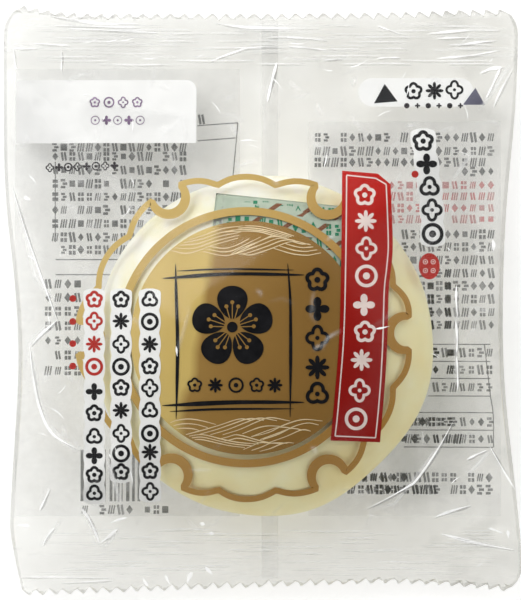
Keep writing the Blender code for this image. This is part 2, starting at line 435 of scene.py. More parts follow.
def new_finish(name):
    """An empty node material: its nodes, its links and its output's surface socket."""
    material = bpy.data.materials.new(name)
    material.use_nodes = True
    nodes, links = material.node_tree.nodes, material.node_tree.links
    nodes.clear()
    output = nodes.new("ShaderNodeOutputMaterial")
    return material, nodes, links, output.inputs["Surface"]


def set_inputs(node, **values):
    for name, value in values.items():
        node.inputs[name.replace("_", " ")].default_value = value
    return node


def maths(nodes, links, operation, first, second=None, third=None):
    """A Math node; each operand is a number or another node's output."""
    node = nodes.new("ShaderNodeMath")
    node.operation = operation
    for socket, value in zip(node.inputs, (first, second, third)):
        if isinstance(value, (int, float)):
            socket.default_value = value
        elif value is not None:
            links.new(value, socket)
    return node.outputs[0]


def mixed_shader(nodes, links, share, first, second):
    """The first shader with the given share of the second."""
    node = nodes.new("ShaderNodeMixShader")
    for socket, value in zip(node.inputs, (share, first, second)):
        links.new(value, socket)
    return node.outputs["Shader"]


def own_value(nodes, name):
    """A value that the mesh carries at each of its points."""
    node = nodes.new("ShaderNodeAttribute")
    node.attribute_name = name
    return node.outputs["Fac"]


def noise_at(nodes, links, size, detail=3):
    """Noise on Object coordinates, with blotches of about the given size in metres."""
    place = nodes.new("ShaderNodeTexCoord")
    noise = nodes.new("ShaderNodeTexNoise")
    set_inputs(noise, Scale=1 / size, Detail=detail)
    links.new(place.outputs["Object"], noise.inputs["Vector"])
    return noise.outputs["Fac"]


def ramp(nodes, links, factor, stops):
    """A colour ramp over (place, colour) stops."""
    node = nodes.new("ShaderNodeValToRGB")
    elements = node.color_ramp.elements
    while len(elements) < len(stops):
        elements.new(0.5)
    for element, (place, colour) in zip(elements, stops):
        element.position = place
        element.color = (*colour, 1)
    links.new(factor, node.inputs["Fac"])
    return node.outputs["Color"]


def relief(nodes, links, height, distance, strength=1.0):
    node = nodes.new("ShaderNodeBump")
    set_inputs(node, Distance=distance, Strength=strength)
    links.new(height, node.inputs["Height"])
    return node.outputs["Normal"]


def slope_over_pack(nodes, links, turn, low, high):
    """0 to 1 across the pack along a direction, from one distance in metres to another."""
    place = nodes.new("ShaderNodeTexCoord")
    along = nodes.new("ShaderNodeVectorMath")
    along.operation = "DOT_PRODUCT"
    along.inputs[1].default_value = (math.cos(turn), math.sin(turn), 0)
    links.new(place.outputs["Object"], along.inputs[0])
    spread = nodes.new("ShaderNodeMapRange")
    set_inputs(spread, From_Min=low, From_Max=high)
    links.new(along.outputs["Value"], spread.inputs["Value"])
    return spread.outputs["Result"]


FILM_BLOTCH = 9 * MM
FILM_GLOSS = 0.008
BACK_GLOSS = 0.012
FILM_SLANT_GLOSS = 0.35
GREY_AND_SHADOW_DEPTH = 0.3
FILM_ROUGHNESS = 0.10
FRONT_HAZE = 0.003
BACK_HAZE = 0.05
FOLD_WHITENESS_AND_GLINT = 0.6


def film_finish(name, tints, haze, gloss, turn=128):
    """Clear film: tinted see-through with painted light and shade, white where folded (partly a painted
    glint), glossier where it slants.
    """
    material, nodes, links, surface = new_finish(name)
    clear = nodes.new("ShaderNodeBsdfTransparent")
    blotch = noise_at(nodes, links, FILM_BLOTCH, 2)
    # Painted light: the tint runs lighter towards one side of the pack and darker in painted shade towards
    # the other.
    painted_light = slope_over_pack(nodes, links, math.radians(turn), -0.07, 0.07)
    painted_light_low = maths(nodes, links, "SUBTRACT", painted_light, 0.33)
    mixed = maths(nodes, links, "MULTIPLY_ADD", blotch, 0.9, painted_light_low)
    # Painted shade: the mesh's grey value darkens the tint near the seals and in the painted shadow beside
    # the bun.
    grey_and_painted_shade = maths(nodes, links, "MULTIPLY_ADD", own_value(nodes, "seal_grey_and_painted_shadow"), -GREY_AND_SHADOW_DEPTH, mixed)
    links.new(ramp(nodes, links, grey_and_painted_shade, tints), clear.inputs["Color"])
    shine = nodes.new("ShaderNodeBsdfPrincipled")
    set_inputs(shine, Base_Color=(0.97, 0.97, 0.96, 1), Metallic=1.0, Roughness=FILM_ROUGHNESS)
    fine = relief(nodes, links, noise_at(nodes, links, 1.1 * MM), 0.02 * MM, 0.5)
    links.new(fine, shine.inputs["Normal"])
    slant = nodes.new("ShaderNodeLayerWeight")
    set_inputs(slant, Blend=0.25)
    shiny = maths(nodes, links, "MULTIPLY_ADD", slant.outputs["Fresnel"], FILM_SLANT_GLOSS, gloss)
    glossy = mixed_shader(nodes, links, shiny, clear.outputs["BSDF"], shine.outputs["BSDF"])
    milky = nodes.new("ShaderNodeBsdfDiffuse")
    set_inputs(milky, Color=(0.98, 0.98, 0.975, 1))
    clouded = maths(nodes, links, "MULTIPLY_ADD", own_value(nodes, "white_fold_and_glint"), FOLD_WHITENESS_AND_GLINT, haze)
    links.new(mixed_shader(nodes, links, clouded, glossy, milky.outputs["BSDF"]), surface)
    return material


film_points, film_faces, front_face_count = film_mesh()
FRONT_TINTS = [(0, (0.96, 0.96, 0.95)), (1, (0.98, 0.98, 0.975))]
front_finish = film_finish("clear film, front", FRONT_TINTS, FRONT_HAZE, FILM_GLOSS)
BACK_TINTS = [(0, (0.72, 0.72, 0.695)), (0.22, (0.845, 0.84, 0.815)), (1, (0.93, 0.93, 0.915))]
back_finish = film_finish("clear film, back", BACK_TINTS, BACK_HAZE, BACK_GLOSS, 172)
film = new_piece("film_wrap", film_points, film_faces, front_finish, back_finish)
film_sides = np.ones(len(film.data.polygons), np.int32)
film_sides[:front_face_count] = 0
film.data.polygons.foreach_set("material_index", film_sides)
film_places = np.array(film_points)
front_point_count = (COLUMNS + 1) * (TOP_ROWS + BODY_ROWS + BOTTOM_ROWS + 1)
fold_white_and_glint = sampled(white_and_glint_map, film_places[:, 0], film_places[:, 1])
fold_white_and_glint[front_point_count:] = 0
film.data.attributes.new("white_fold_and_glint", "FLOAT", "POINT").data.foreach_set("value", fold_white_and_glint)
# The film is greyed towards the end seals, more at the top than at the foot, and less on the back.
near_top = ease((film_places[:, 1] / MM - 42) / 8)
near_foot = 0.35 * ease((-48 - film_places[:, 1] / MM) / 6)
grey_and_painted_shade = np.maximum(near_top, near_foot)
grey_and_painted_shade[front_point_count:] *= 0.4
# Painted shadow: the back film is darkened in a crescent round the bun's lower right, where the bun's shadow
# falls.
SHADOW_CRESCENT_AT = (0.24, -9.3)
SHADOW_CRESCENT_TURN = -26
SHADOW_CRESCENT_SPREAD = 30
SHADOW_CRESCENT_REACH = 54
from_bun = film_places[front_point_count:, :2] / MM - np.array(SHADOW_CRESCENT_AT)
bun_angle = np.degrees(np.arctan2(from_bun[:, 1], from_bun[:, 0]))
painted_shadow = bump(bun_angle - SHADOW_CRESCENT_TURN, SHADOW_CRESCENT_SPREAD)
painted_shadow *= ease((SHADOW_CRESCENT_REACH - np.hypot(from_bun[:, 0], from_bun[:, 1])) / 16)
grey_and_painted_shade[front_point_count:] += 1.5 * painted_shadow
film.data.attributes.new("seal_grey_and_painted_shadow", "FLOAT", "POINT").data.foreach_set("value", grey_and_painted_shade)
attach(film, "root")
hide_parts(NODE)

# The print: inks laid on the inside of the film before it is folded, so each printed shape
# is a skin a few hundredths of a millimetre thick that follows the film. The shapes are
# drawn flat in millimetres, laid under the front film or over the back one, and thickened.
INK_THICKNESS = 0.02 * MM
FILM_TO_INK = 0.05 * MM
INK_LAYER = 0.04 * MM


class Drawing:
    """Flat shapes gathered into one printed piece, in millimetres."""

    def __init__(self):
        self.points = []
        self.faces = []

    def add(self, points, faces):
        start = len(self.points)
        self.points += [tuple(point) for point in points]
        self.faces += [tuple(start + index for index in face) for face in faces]

    def take(self, other):
        self.add(other.points, other.faces)

    def fan(self, outline, middle, rings=1):
        """A filled shape, star-like about its middle, in rings so that it can bend."""
        count = len(outline)
        points = [middle]
        for ring in range(1, rings + 1):
            share = ring / rings
            points += [
                (middle[0] + (x - middle[0]) * share, middle[1] + (y - middle[1]) * share)
                for x, y in outline
            ]
        faces = [(0, 1 + i, 1 + (i + 1) % count) for i in range(count)]
        for ring in range(1, rings):
            inner, outer = 1 + (ring - 1) * count, 1 + ring * count
            for i in range(count):
                j = (i + 1) % count
                faces.append((inner + i, outer + i, outer + j, inner + j))
        self.add(points, faces)

    def band(self, left, right, across=1, closed=False):
        """A strip between two lines of as many points; left is on the left hand going along."""
        count = len(left)
        points = []
        for (lx, ly), (rx, ry) in zip(left, right):
            points += [
                (rx + (lx - rx) * s / across, ry + (ly - ry) * s / across) for s in range(across + 1)
            ]
        faces = []
        width = across + 1
        for i in range(count if closed else count - 1):
            j = (i + 1) % count
            for s in range(across):
                faces.append((i * width + s, j * width + s, j * width + s + 1, i * width + s + 1))
        self.add(points, faces)


def laid(drawing, name, height_map, offset, material):
    """The drawing as a thin skin on a height map, riding with the pack."""
    flat = np.array(drawing.points) * MM
    z = sampled(height_map, flat[:, 0], flat[:, 1]) + offset
    piece = new_piece(name, np.column_stack([flat, z]), drawing.faces, material)
    thicken(piece, INK_THICKNESS)
    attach(piece, "root")
    return piece


def thicken(piece, thickness):
    """Solidify downwards, applied, so that the piece is a closed skin."""
    skin = piece.modifiers.new("skin", "SOLIDIFY")
    skin.thickness = thickness
    skin.offset = -1
    bpy.context.view_layer.update()
    done = bpy.data.meshes.new_from_object(piece.evaluated_get(bpy.context.evaluated_depsgraph_get()))
    piece.modifiers.clear()
    old, name = piece.data, piece.data.name
    piece.data = done
    bpy.data.meshes.remove(old)
    done.name = name
    done.set_sharp_from_angle(angle=math.radians(50))


def inked(nodes, links, surface, shade, roughness, gloss, grain=0.4 * MM, depth=0.01 * MM, strength=0.4):
    """A layer of ink in the given shade with a fine grain, joined to the material's surface."""
    body = nodes.new("ShaderNodeBsdfPrincipled")
    set_inputs(body, Roughness=roughness)
    body.inputs["Specular IOR Level"].default_value = gloss
    links.new(shade, body.inputs["Base Color"])
    fine = relief(nodes, links, noise_at(nodes, links, grain), depth, strength)
    links.new(fine, body.inputs["Normal"])
    links.new(body.outputs["BSDF"], surface)


def ink_finish(name, colour, roughness=0.6, spread=0.06):
    """Flat opaque ink, a little uneven in strength; its gloss is the film's that covers it."""
    material, nodes, links, surface = new_finish(name)
    darker = tuple(channel * (1 - spread) for channel in colour)
    lighter = tuple(min(channel * (1 + spread) + spread * 0.02, 1) for channel in colour)
    shade = ramp(nodes, links, noise_at(nodes, links, 2.5 * MM), [(0.3, darker), (0.7, lighter)])
    inked(nodes, links, surface, shade, roughness, 0.08)
    return material


def circle(middle, radius, count=48, ratio=1.0):
    return [
        (
            middle[0] + radius * math.cos(2 * math.pi * i / count),
            middle[1] + radius * ratio * math.sin(2 * math.pi * i / count),
        )
        for i in range(count)
    ]


def under_front(layer):
    """How far below the front film an ink layer lies: 0 is printed first, next to the film."""
    return -FILM_TO_INK - layer * INK_LAYER


# The border: a six-lobed rosette with round notches, in gold ink, and a plain ring inside it,
# both lines with a brush's swelling. The gold carries painted light: a painted reflection makes it
# pale at the upper left, and painted shade turns it brown below.
ROSETTE = (-3.44, -7.7)
LOBES = 6
LOBE_PROFILE = [
    (0, 33.0), (3.0, 32.95), (6.0, 32.72), (9.0, 32.3), (11.0, 31.95), (12.2, 32.35),
    (14.5, 33.15), (17.0, 33.85), (19.5, 34.35), (22.0, 34.7), (24.0, 34.85),
]
NOTCH_CENTRE_RADIUS = 33.7
NOTCH_RADIUS = 3.5
NOTCH_OPENING = math.radians(70)
NOTCH_STEPS = 22
LOBE_LINE = 1.22
NOTCH_LINE = 2.0
BORDER_SLIPS = [
    (-20.3, 21.5, 1.2, -0.45, 7), (13.4, 21.5, -0.1, -0.6, 7), (30.3, -7.7, -0.9, 1.2, 7),
    (34.5, -7.7, -1.4, 0.0, 4), (13.4, -36.9, 0.0, 1.2, 7), (-20.3, -36.9, 1.8, 1.4, 7),
    (-37.1, -7.7, 0.6, 0.0, 7),
]
RING_MIDDLE = (-3.44, -7.48)
RING_RADIUS = 25.7
RING_LINE = 1.62


def around_rosette(angle, radius):
    return (ROSETTE[0] + radius * math.cos(angle), ROSETTE[1] + radius * math.sin(angle))


def rosette_path():
    """Centre line of the lobed border, anticlockwise, with the line's width at each point."""
    angles = np.array([angle for angle, _ in LOBE_PROFILE])
    radii = np.array([radius for _, radius in LOBE_PROFILE])
    path, widths = [], []
    for lobe in range(LOBES):
        middle = math.radians(90 + 60 * lobe)
        for offset in np.linspace(-24.0, 24.0, 41):
            radius = np.interp(abs(offset), angles, radii)
            path.append(around_rosette(middle + math.radians(offset), radius))
            widths.append(LOBE_LINE)
        notch_angle = middle + math.radians(30)
        notch = around_rosette(notch_angle, NOTCH_CENTRE_RADIUS)
        for step in range(1, NOTCH_STEPS):
            share = step / NOTCH_STEPS
            turn = notch_angle - NOTCH_OPENING - share * (2 * math.pi - 2 * NOTCH_OPENING)
            path.append(
                (notch[0] + NOTCH_RADIUS * math.cos(turn), notch[1] + NOTCH_RADIUS * math.sin(turn))
            )
            widths.append(LOBE_LINE + (NOTCH_LINE - LOBE_LINE) * math.sin(math.pi * share) ** 0.6)
    return [slipped(x, y) for x, y in path], widths


def slipped(x, y):
    """Where a point of the border comes to lie, as the film bends over the bun's rim."""
    moved_x, moved_y = x, y
    for at_x, at_y, by_x, by_y, reach in BORDER_SLIPS:
        share = math.exp(-((math.hypot(x - at_x, y - at_y) / reach) ** 2) / 2)
        moved_x += by_x * share
        moved_y += by_y * share
    return moved_x, moved_y


def ribbon(path, widths, closed, most_mitre=1.7):
    """Left and right edges of a line of changing width, mitred at its corners."""
    places = np.array(path)
    before = np.roll(places, 1, axis=0)
    after = np.roll(places, -1, axis=0)
    if not closed:
        before[0] = 2 * places[0] - places[1]
        after[-1] = 2 * places[-1] - places[-2]
    arrive = (places - before) / np.linalg.norm(places - before, axis=1)[:, None]
    leave = (after - places) / np.linalg.norm(after - places, axis=1)[:, None]
    along = arrive + leave
    along /= np.maximum(np.linalg.norm(along, axis=1), 1e-9)[:, None]
    normal = np.column_stack([-along[:, 1], along[:, 0]])
    cosine = np.clip((arrive * along).sum(1), 1 / most_mitre, 1)
    reach = (np.array(widths) / 2 / cosine)[:, None]
    return (places + normal * reach).tolist(), (places - normal * reach).tolist()


# Gold stops with painted light: the pale step is a painted reflection, and the brown end is painted shade.
FIELD_GOLDS_PAINTED_LIGHT = [
    (0.0, (0.69, 0.515, 0.18)),
    (0.10, (0.66, 0.485, 0.155)),
    (0.25, (0.69, 0.515, 0.165)),
    (0.315, (0.38, 0.225, 0.058)),
    (0.45, (0.36, 0.205, 0.050)),
    (1.0, (0.29, 0.155, 0.034)),
]
LINE_GOLDS_PAINTED_LIGHT = [
    (0.0, (0.68, 0.50, 0.18)),
    (0.35, (0.54, 0.36, 0.10)),
    (0.65, (0.49, 0.28, 0.07)),
    (1.0, (0.42, 0.22, 0.04)),
]


def spread_noise(nodes, links, size, detail, low, high):
    """Noise stretched from its middle range to run from one value to another."""
    spread = nodes.new("ShaderNodeMapRange")
    set_inputs(spread, From_Min=0.3, From_Max=0.7, To_Min=low, To_Max=high)
    links.new(noise_at(nodes, links, size, detail), spread.inputs["Value"])
    return spread.outputs["Result"]


def painted_light_gold_finish(name, stops, turn, low, high):
    """Gold ink with painted light: a painted reflection pale straw on one side, darkening in painted shade
    to brown on the other.
    """
    material, nodes, links, surface = new_finish(name)
    along = slope_over_pack(nodes, links, turn, low, high)
    uneven = spread_noise(nodes, links, 12 * MM, 1, -0.03, 0.03)
    mixed = maths(nodes, links, "ADD", uneven, along)
    shade = ramp(nodes, links, mixed, stops)
    inked(nodes, links, surface, shade, 0.55, 0.15, 0.35 * MM, 0.012 * MM, 0.5)
    return material


gold_line = painted_light_gold_finish("gold line ink", LINE_GOLDS_PAINTED_LIGHT, math.radians(-38), -0.033, 0.030)
border = Drawing()
border_path, border_widths = rosette_path()
border.band(*ribbon(border_path, border_widths, closed=True), across=2, closed=True)
ring_path = circle(RING_MIDDLE, RING_RADIUS, 160)
border.band(*ribbon(ring_path, [RING_LINE] * 160, closed=True), across=2, closed=True)
laid(border, "gold_border", front_map, under_front(2), gold_line)

# The gold field: a full disc of the same gold inside the ring, printed last, so that it
# backs the lines and marks that lie over it and hides the bun behind.
FIELD_MIDDLE = (-3.1, -7.6)
FIELD_RADIUS = 23.8
gold = painted_light_gold_finish("gold field ink", FIELD_GOLDS_PAINTED_LIGHT, math.radians(-10), -0.021, 0.012)
field = Drawing()
field.fan(circle(FIELD_MIDDLE, FIELD_RADIUS, 120), FIELD_MIDDLE, rings=26)
laid(field, "gold_field", front_map, under_front(3), gold)

# Flowing water: the old pattern of crossing bundles of lines, in cream ink, that fills the
# top and the foot of the gold field. Each bundle is drawn between its first and last line.
CREAM_LINE = 0.2
WATER = [
    ([(-15.4, 17.9), (-12.2, 17.3), (-9.6, 17.9), (-6.6, 19.0), (-1.6, 20.4)],
     [(-11.7, 20.0), (-8.2, 21.1), (-7.3, 21.5), (-4.5, 22.4), (-0.5, 22.9)], 5),
    ([(-8.7, 17.7), (-5.2, 16.9), (-2.6, 17.1), (1.2, 19.0), (5.4, 21.0)],
     [(-7.3, 18.7), (-4.5, 18.3), (-2.6, 18.7), (-1.2, 19.3), (0.7, 20.3)], 3),
    ([(-0.7, 17.1), (1.2, 17.0), (5.0, 18.2), (9.4, 19.7), (13.2, 19.0)],
     [(-3.0, 17.1), (-1.2, 18.2), (2.4, 19.6), (5.4, 20.7), (8.3, 20.4)], 4),
    ([(-4.5, 21.6), (-1.6, 21.8), (2.4, 21.7), (5.0, 21.1), (8.3, 20.4)],
     [(-0.2, 22.9), (2.6, 22.8), (5.2, 22.2), (7.6, 21.5), (9.8, 20.8)], 4),
    ([(5.4, 18.4), (9.4, 17.2), (12.5, 16.9), (14.2, 17.2), (15.3, 17.4)],
     [(9.4, 19.7), (10.4, 19.4), (11.3, 19.2), (12.0, 19.2), (12.9, 19.2)], 4),
    ([(-15.4, -17.2), (-14.1, -16.7), (-11.7, -16.4), (-9.2, -16.7), (-6.1, -17.5)],
     [(-14.1, -18.4), (-13.2, -18.3), (-12.2, -18.3), (-10.6, -18.4), (-9.4, -18.8)], 3),
    ([(-12.2, -19.6), (-8.2, -18.5), (-5.2, -17.6), (-1.4, -16.4), (1.0, -16.6)],
     [(-4.7, -19.6), (-1.2, -18.5), (2.4, -16.9), (5.0, -16.1), (9.0, -16.8)], 4),
    ([(-0.7, -19.4), (2.4, -18.2), (4.3, -17.8), (5.7, -17.8), (7.1, -17.9)],
     [(4.7, -21.2), (8.3, -19.9), (11.0, -18.7), (12.2, -18.6), (13.2, -18.9)], 4),
    ([(1.2, -20.0), (4.7, -19.1), (7.8, -17.6), (11.6, -16.5), (15.6, -16.8)],
     [(3.4, -20.6), (6.6, -19.5), (9.8, -17.9), (12.6, -17.2), (14.8, -17.6)], 2),
    ([(-11.6, -19.9), (-8.7, -19.6), (-4.5, -20.6), (-1.2, -21.2), (2.6, -21.5)],
     [(-10.4, -20.6), (-9.0, -20.6), (-6.6, -21.1), (-3.5, -21.8), (-0.2, -22.2)], 3),
    ([(-5.4, -20.5), (-3.5, -20.0), (-1.6, -19.6), (2.8, -20.8), (5.0, -21.2)],
     [(-4.4, -20.9), (-3.0, -20.6), (-1.4, -20.3), (1.8, -21.0), (3.0, -21.3)], 2),
    ([(-0.5, -22.6), (1.2, -21.9), (2.8, -21.2), (5.0, -21.3), (7.1, -21.4)],
     [(2.8, -23.0), (5.0, -22.4), (7.1, -21.5), (8.6, -21.2), (9.8, -21.3)], 3),
]


def smooth_line(points, steps):
    """Points along a smooth curve through the given ones."""
    known = np.array(points, float)
    known = np.vstack([2 * known[0] - known[1], known, 2 * known[-1] - known[-2]])
    line = []
    for s in np.linspace(0, len(points) - 1, steps):
        i = min(int(s), len(points) - 2)
        t = s - i
        a, b, c, d = known[i : i + 4]
        square, cube = 2 * a - 5 * b + 4 * c - d, 3 * b - a - 3 * c + d
        line.append(0.5 * (2 * b + (c - a) * t + square * t**2 + cube * t**3))
    return np.array(line)


def node_tree(name, **sizes):
    """A Geometry Nodes tree with its first and last node, and an input for each size and the ink."""
    tree = bpy.data.node_groups.new(name, "GeometryNodeTree")
    kinds = {bool: "NodeSocketBool", int: "NodeSocketInt", float: "NodeSocketFloat"}
    tree.interface.new_socket("Geometry", in_out="INPUT", socket_type="NodeSocketGeometry")
    for size, value in sizes.items():
        kind = kinds[type(value)]
        socket = tree.interface.new_socket(size.replace("_", " "), in_out="INPUT", socket_type=kind)
        socket.default_value = value
    tree.interface.new_socket("Ink", in_out="INPUT", socket_type="NodeSocketMaterial")
    tree.interface.new_socket("Geometry", in_out="OUTPUT", socket_type="NodeSocketGeometry")
    return tree, tree.nodes.new("NodeGroupInput"), tree.nodes.new("NodeGroupOutput")


def end_tree(tree, start, end, geometry):
    """Makes the instances real, gives them the ink and hands them out."""
    real = tree.nodes.new("GeometryNodeRealizeInstances")
    paint = tree.nodes.new("GeometryNodeSetMaterial")
    tree.links.new(geometry, real.inputs["Geometry"])
    tree.links.new(real.outputs["Geometry"], paint.inputs["Geometry"])
    tree.links.new(start.outputs["Ink"], paint.inputs["Material"])
    tree.links.new(paint.outputs["Geometry"], end.inputs["Geometry"])
    return tree


def flat_nib(nodes):
    """The cross-section of a stroke: a level line, one unit wide."""
    nib = nodes.new("GeometryNodeCurvePrimitiveLine")
    nib.inputs["Start"].default_value = (-0.5, 0, 0)
    nib.inputs["End"].default_value = (0.5, 0, 0)
    return nib.outputs["Curve"]


def point_value(nodes, name):
    """A value that the bare mesh carries at each of its points."""
    node = nodes.new("GeometryNodeInputNamedAttribute")
    node.data_type = "FLOAT"
    node.inputs["Name"].default_value = name
    return node.outputs["Attribute"]


def brush_tree():
    """Turns edge lines into flat strokes: each is Line Width wide times its own swelling."""
    tree, start, end = node_tree("brush strokes", Line_Width=0.25, Step=0.5)
    nodes, links = tree.nodes, tree.links
    curve = nodes.new("GeometryNodeMeshToCurve")
    even = nodes.new("GeometryNodeResampleCurve")
    even.mode = "LENGTH"
    upright = nodes.new("GeometryNodeSetCurveNormal")
    upright.mode = "Z_UP"
    width = maths(nodes, links, "MULTIPLY", point_value(nodes, "swell"), start.outputs["Line Width"])
    stroke = nodes.new("GeometryNodeCurveToMesh")
    links.new(start.outputs["Geometry"], curve.inputs["Mesh"])
    links.new(curve.outputs["Curve"], even.inputs["Curve"])
    links.new(start.outputs["Step"], even.inputs["Length"])
    links.new(even.outputs["Curve"], upright.inputs["Curve"])
    links.new(upright.outputs["Curve"], stroke.inputs["Curve"])
    links.new(width, stroke.inputs["Scale"])
    links.new(flat_nib(nodes), stroke.inputs["Profile Curve"])
    return end_tree(tree, start, end, stroke.outputs["Mesh"])


def grown(name, points, edges, attributes, tree, **values):
    """Runs a tree on a bare mesh of points and edges; gives the flat result's points and faces."""
    mesh = bpy.data.meshes.new(name)
    mesh.from_pydata([(x, y, 0.0) for x, y in points], edges, [])
    for attribute, numbers in attributes.items():
        layer = mesh.attributes.new(attribute, "FLOAT", "POINT")
        layer.data.foreach_set("value", np.array(numbers, np.float32))
    seedling = bpy.data.objects.new(name, mesh)
    bpy.context.scene.collection.objects.link(seedling)
    modifier = seedling.modifiers.new("shape", "NODES")
    modifier.node_group = tree
    for item in tree.interface.items_tree:
        if item.item_type == "SOCKET" and item.in_out == "INPUT" and item.name in values:
            modifier[item.identifier] = values[item.name]
    bpy.context.view_layer.update()
    seen = seedling.evaluated_get(bpy.context.evaluated_depsgraph_get())
    result = bpy.data.meshes.new_from_object(seen)
    flat = [(vertex.co.x, vertex.co.y) for vertex in result.vertices]
    faces = [tuple(face.vertices) for face in result.polygons]
    bpy.data.objects.remove(seedling)
    bpy.data.meshes.remove(result)
    return flat, upward(flat, faces)


def upward(points, faces):
    """The faces, each turned to run anticlockwise seen from above."""
    turned = []
    for face in faces:
        corners = [points[index] for index in face]
        area = sum(
            a[0] * b[1] - b[0] * a[1] for a, b in zip(corners, corners[1:] + corners[:1])
        )
        if abs(area) > 1e-9:
            turned.append(face if area > 0 else face[::-1])
    return turned


BRUSH = brush_tree()


def strokes(lines, width, step, ink, taper=0.0, wobble=0.0, seed=1, weights=None):
    """Brush strokes along smooth lines, each thinner towards its ends by the taper."""
    draw = np.random.default_rng(seed)
    points, edges, swell = [], [], []
    for number, line in enumerate(lines):
        weight = 1.0 if weights is None else weights[number]
        length = np.hypot(*np.diff(line, axis=0).T).sum()
        count = max(int(length / step), 4)
        smooth = smooth_line(line, count)
        start = len(points)
        points += [tuple(p) for p in smooth]
        edges += [(start + i, start + i + 1) for i in range(count - 1)]
        phase = draw.uniform(0, 6.3)
        for share in np.linspace(0, 1, count):
            end_fade = 1 - taper * (1 - min(1, 4 * share, 4 * (1 - share)) ** 0.7)
            swell.append(weight * end_fade * (1 + wobble * math.sin(phase + share * 7)))
    drawing = Drawing()
    values = {"Line Width": width, "Step": step, "Ink": ink}
    drawing.add(*grown("stroke lines", points, edges, {"swell": swell}, BRUSH, **values))
    return drawing


cream = ink_finish("cream ink", (0.86, 0.70, 0.44))
water_lines = []
for first, last, count in WATER:
    first_line, last_line = np.array(first), np.array(last)
    for index in range(count):
        share = index / (count - 1)
        water_lines.append(first_line * (1 - share) + last_line * share + np.array(ROSETTE))
water = strokes(water_lines, CREAM_LINE, 0.6, cream, taper=0.35, wobble=0.2, seed=4)
laid(water, "water_lines", front_map, under_front(1), cream)

# The brush frame: eight black strokes that cross at the corners, doubled above and below,
# thick in the middle and drawn out thin at the ends as a brush leaves them.
FRAME_STROKES = [
    ([(-14.3, 15.1), (-14.2, 9.8), (-13.9, -0.4), (-14.0, -8.6), (-14.2, -16.4)], 0.62),
    ([(8.5, 15.2), (9.0, 8.3), (9.1, 1.6), (9.1, -5.1), (9.0, -16.0)], 0.56),
    ([(-14.0, 13.7), (-4.1, 14.1), (9.8, 13.9)], 0.34),
    ([(-16.9, 12.2), (-3.4, 13.1), (11.8, 12.9)], 0.72),
    ([(-17.0, -13.7), (-2.4, -13.0), (11.8, -13.0)], 0.84),
    ([(-15.5, -14.9), (-5.5, -14.4), (9.8, -14.3)], 0.42),
]
black = ink_finish("black ink", (0.006, 0.006, 0.008), 0.3, 0.3)
brush_frame = Drawing()
for number, (line, width) in enumerate(FRAME_STROKES):
    placed = [np.array(line) + np.array(ROSETTE)]
    stroke = strokes(placed, width, 0.7, black, taper=0.85, wobble=0.12, seed=number)
    brush_frame.take(stroke)
laid(brush_frame, "brush_frame", front_map, under_front(0), black)

# The flower: a plain five-petalled plum blossom in black, the width of the frame, with a
# round eye and short stamens left open in the gold.
FLOWER = (ROSETTE[0] - 2.75, ROSETTE[1] + 2.3)
FLOWER_RADIUS = 8.4
PETAL_COUNT = 5


def petal_outline(middle, turn, radius):
    """A round petal with a broad tip and a narrow foot that points to the middle."""
    outline = []
    for i in range(40):
        angle = 2 * math.pi * i / 40
        along = 0.60 * radius + 0.40 * radius * math.cos(angle)
        sideways = 0.36 * radius * math.sin(angle) * (1 + 0.22 * math.cos(angle))
        outline.append(
            (
                middle[0] + along * math.cos(turn) - sideways * math.sin(turn),
                middle[1] + along * math.sin(turn) + sideways * math.cos(turn),
            )
        )
    return outline


def on_flower(turn, share):
    """A place at a share of the flower's radius from its middle."""
    reach = share * FLOWER_RADIUS
    return (FLOWER[0] + reach * math.cos(turn), FLOWER[1] + reach * math.sin(turn))


flower = Drawing()
for petal in range(PETAL_COUNT):
    turn = math.radians(90 + 72 * petal)
    flower.fan(petal_outline(FLOWER, turn, FLOWER_RADIUS), on_flower(turn, 0.6), rings=5)
flower.fan(circle(FLOWER, 0.13 * FLOWER_RADIUS, 24), FLOWER, rings=2)
laid(flower, "plum_flower", front_map, under_front(0), black)

stamens, stamen_tips = [], []
for petal in range(PETAL_COUNT):
    for lean in (-16, 0, 16):
        turn = math.radians(90 + 72 * petal + lean)
        line = [on_flower(turn, 0.20), on_flower(turn, 0.52 if lean else 0.60)]
        stamens.append(np.array(line))
        stamen_tips.append(line[1])
stamen_print = strokes(stamens, 0.2, 0.6, gold)

# Small marks: wherever the pack carries rows of small print, plain flower, disc and lozenge
# marks stand in even rows. One tree makes every mark: petals, size and place are its inputs.
MARK_SIDES = 48


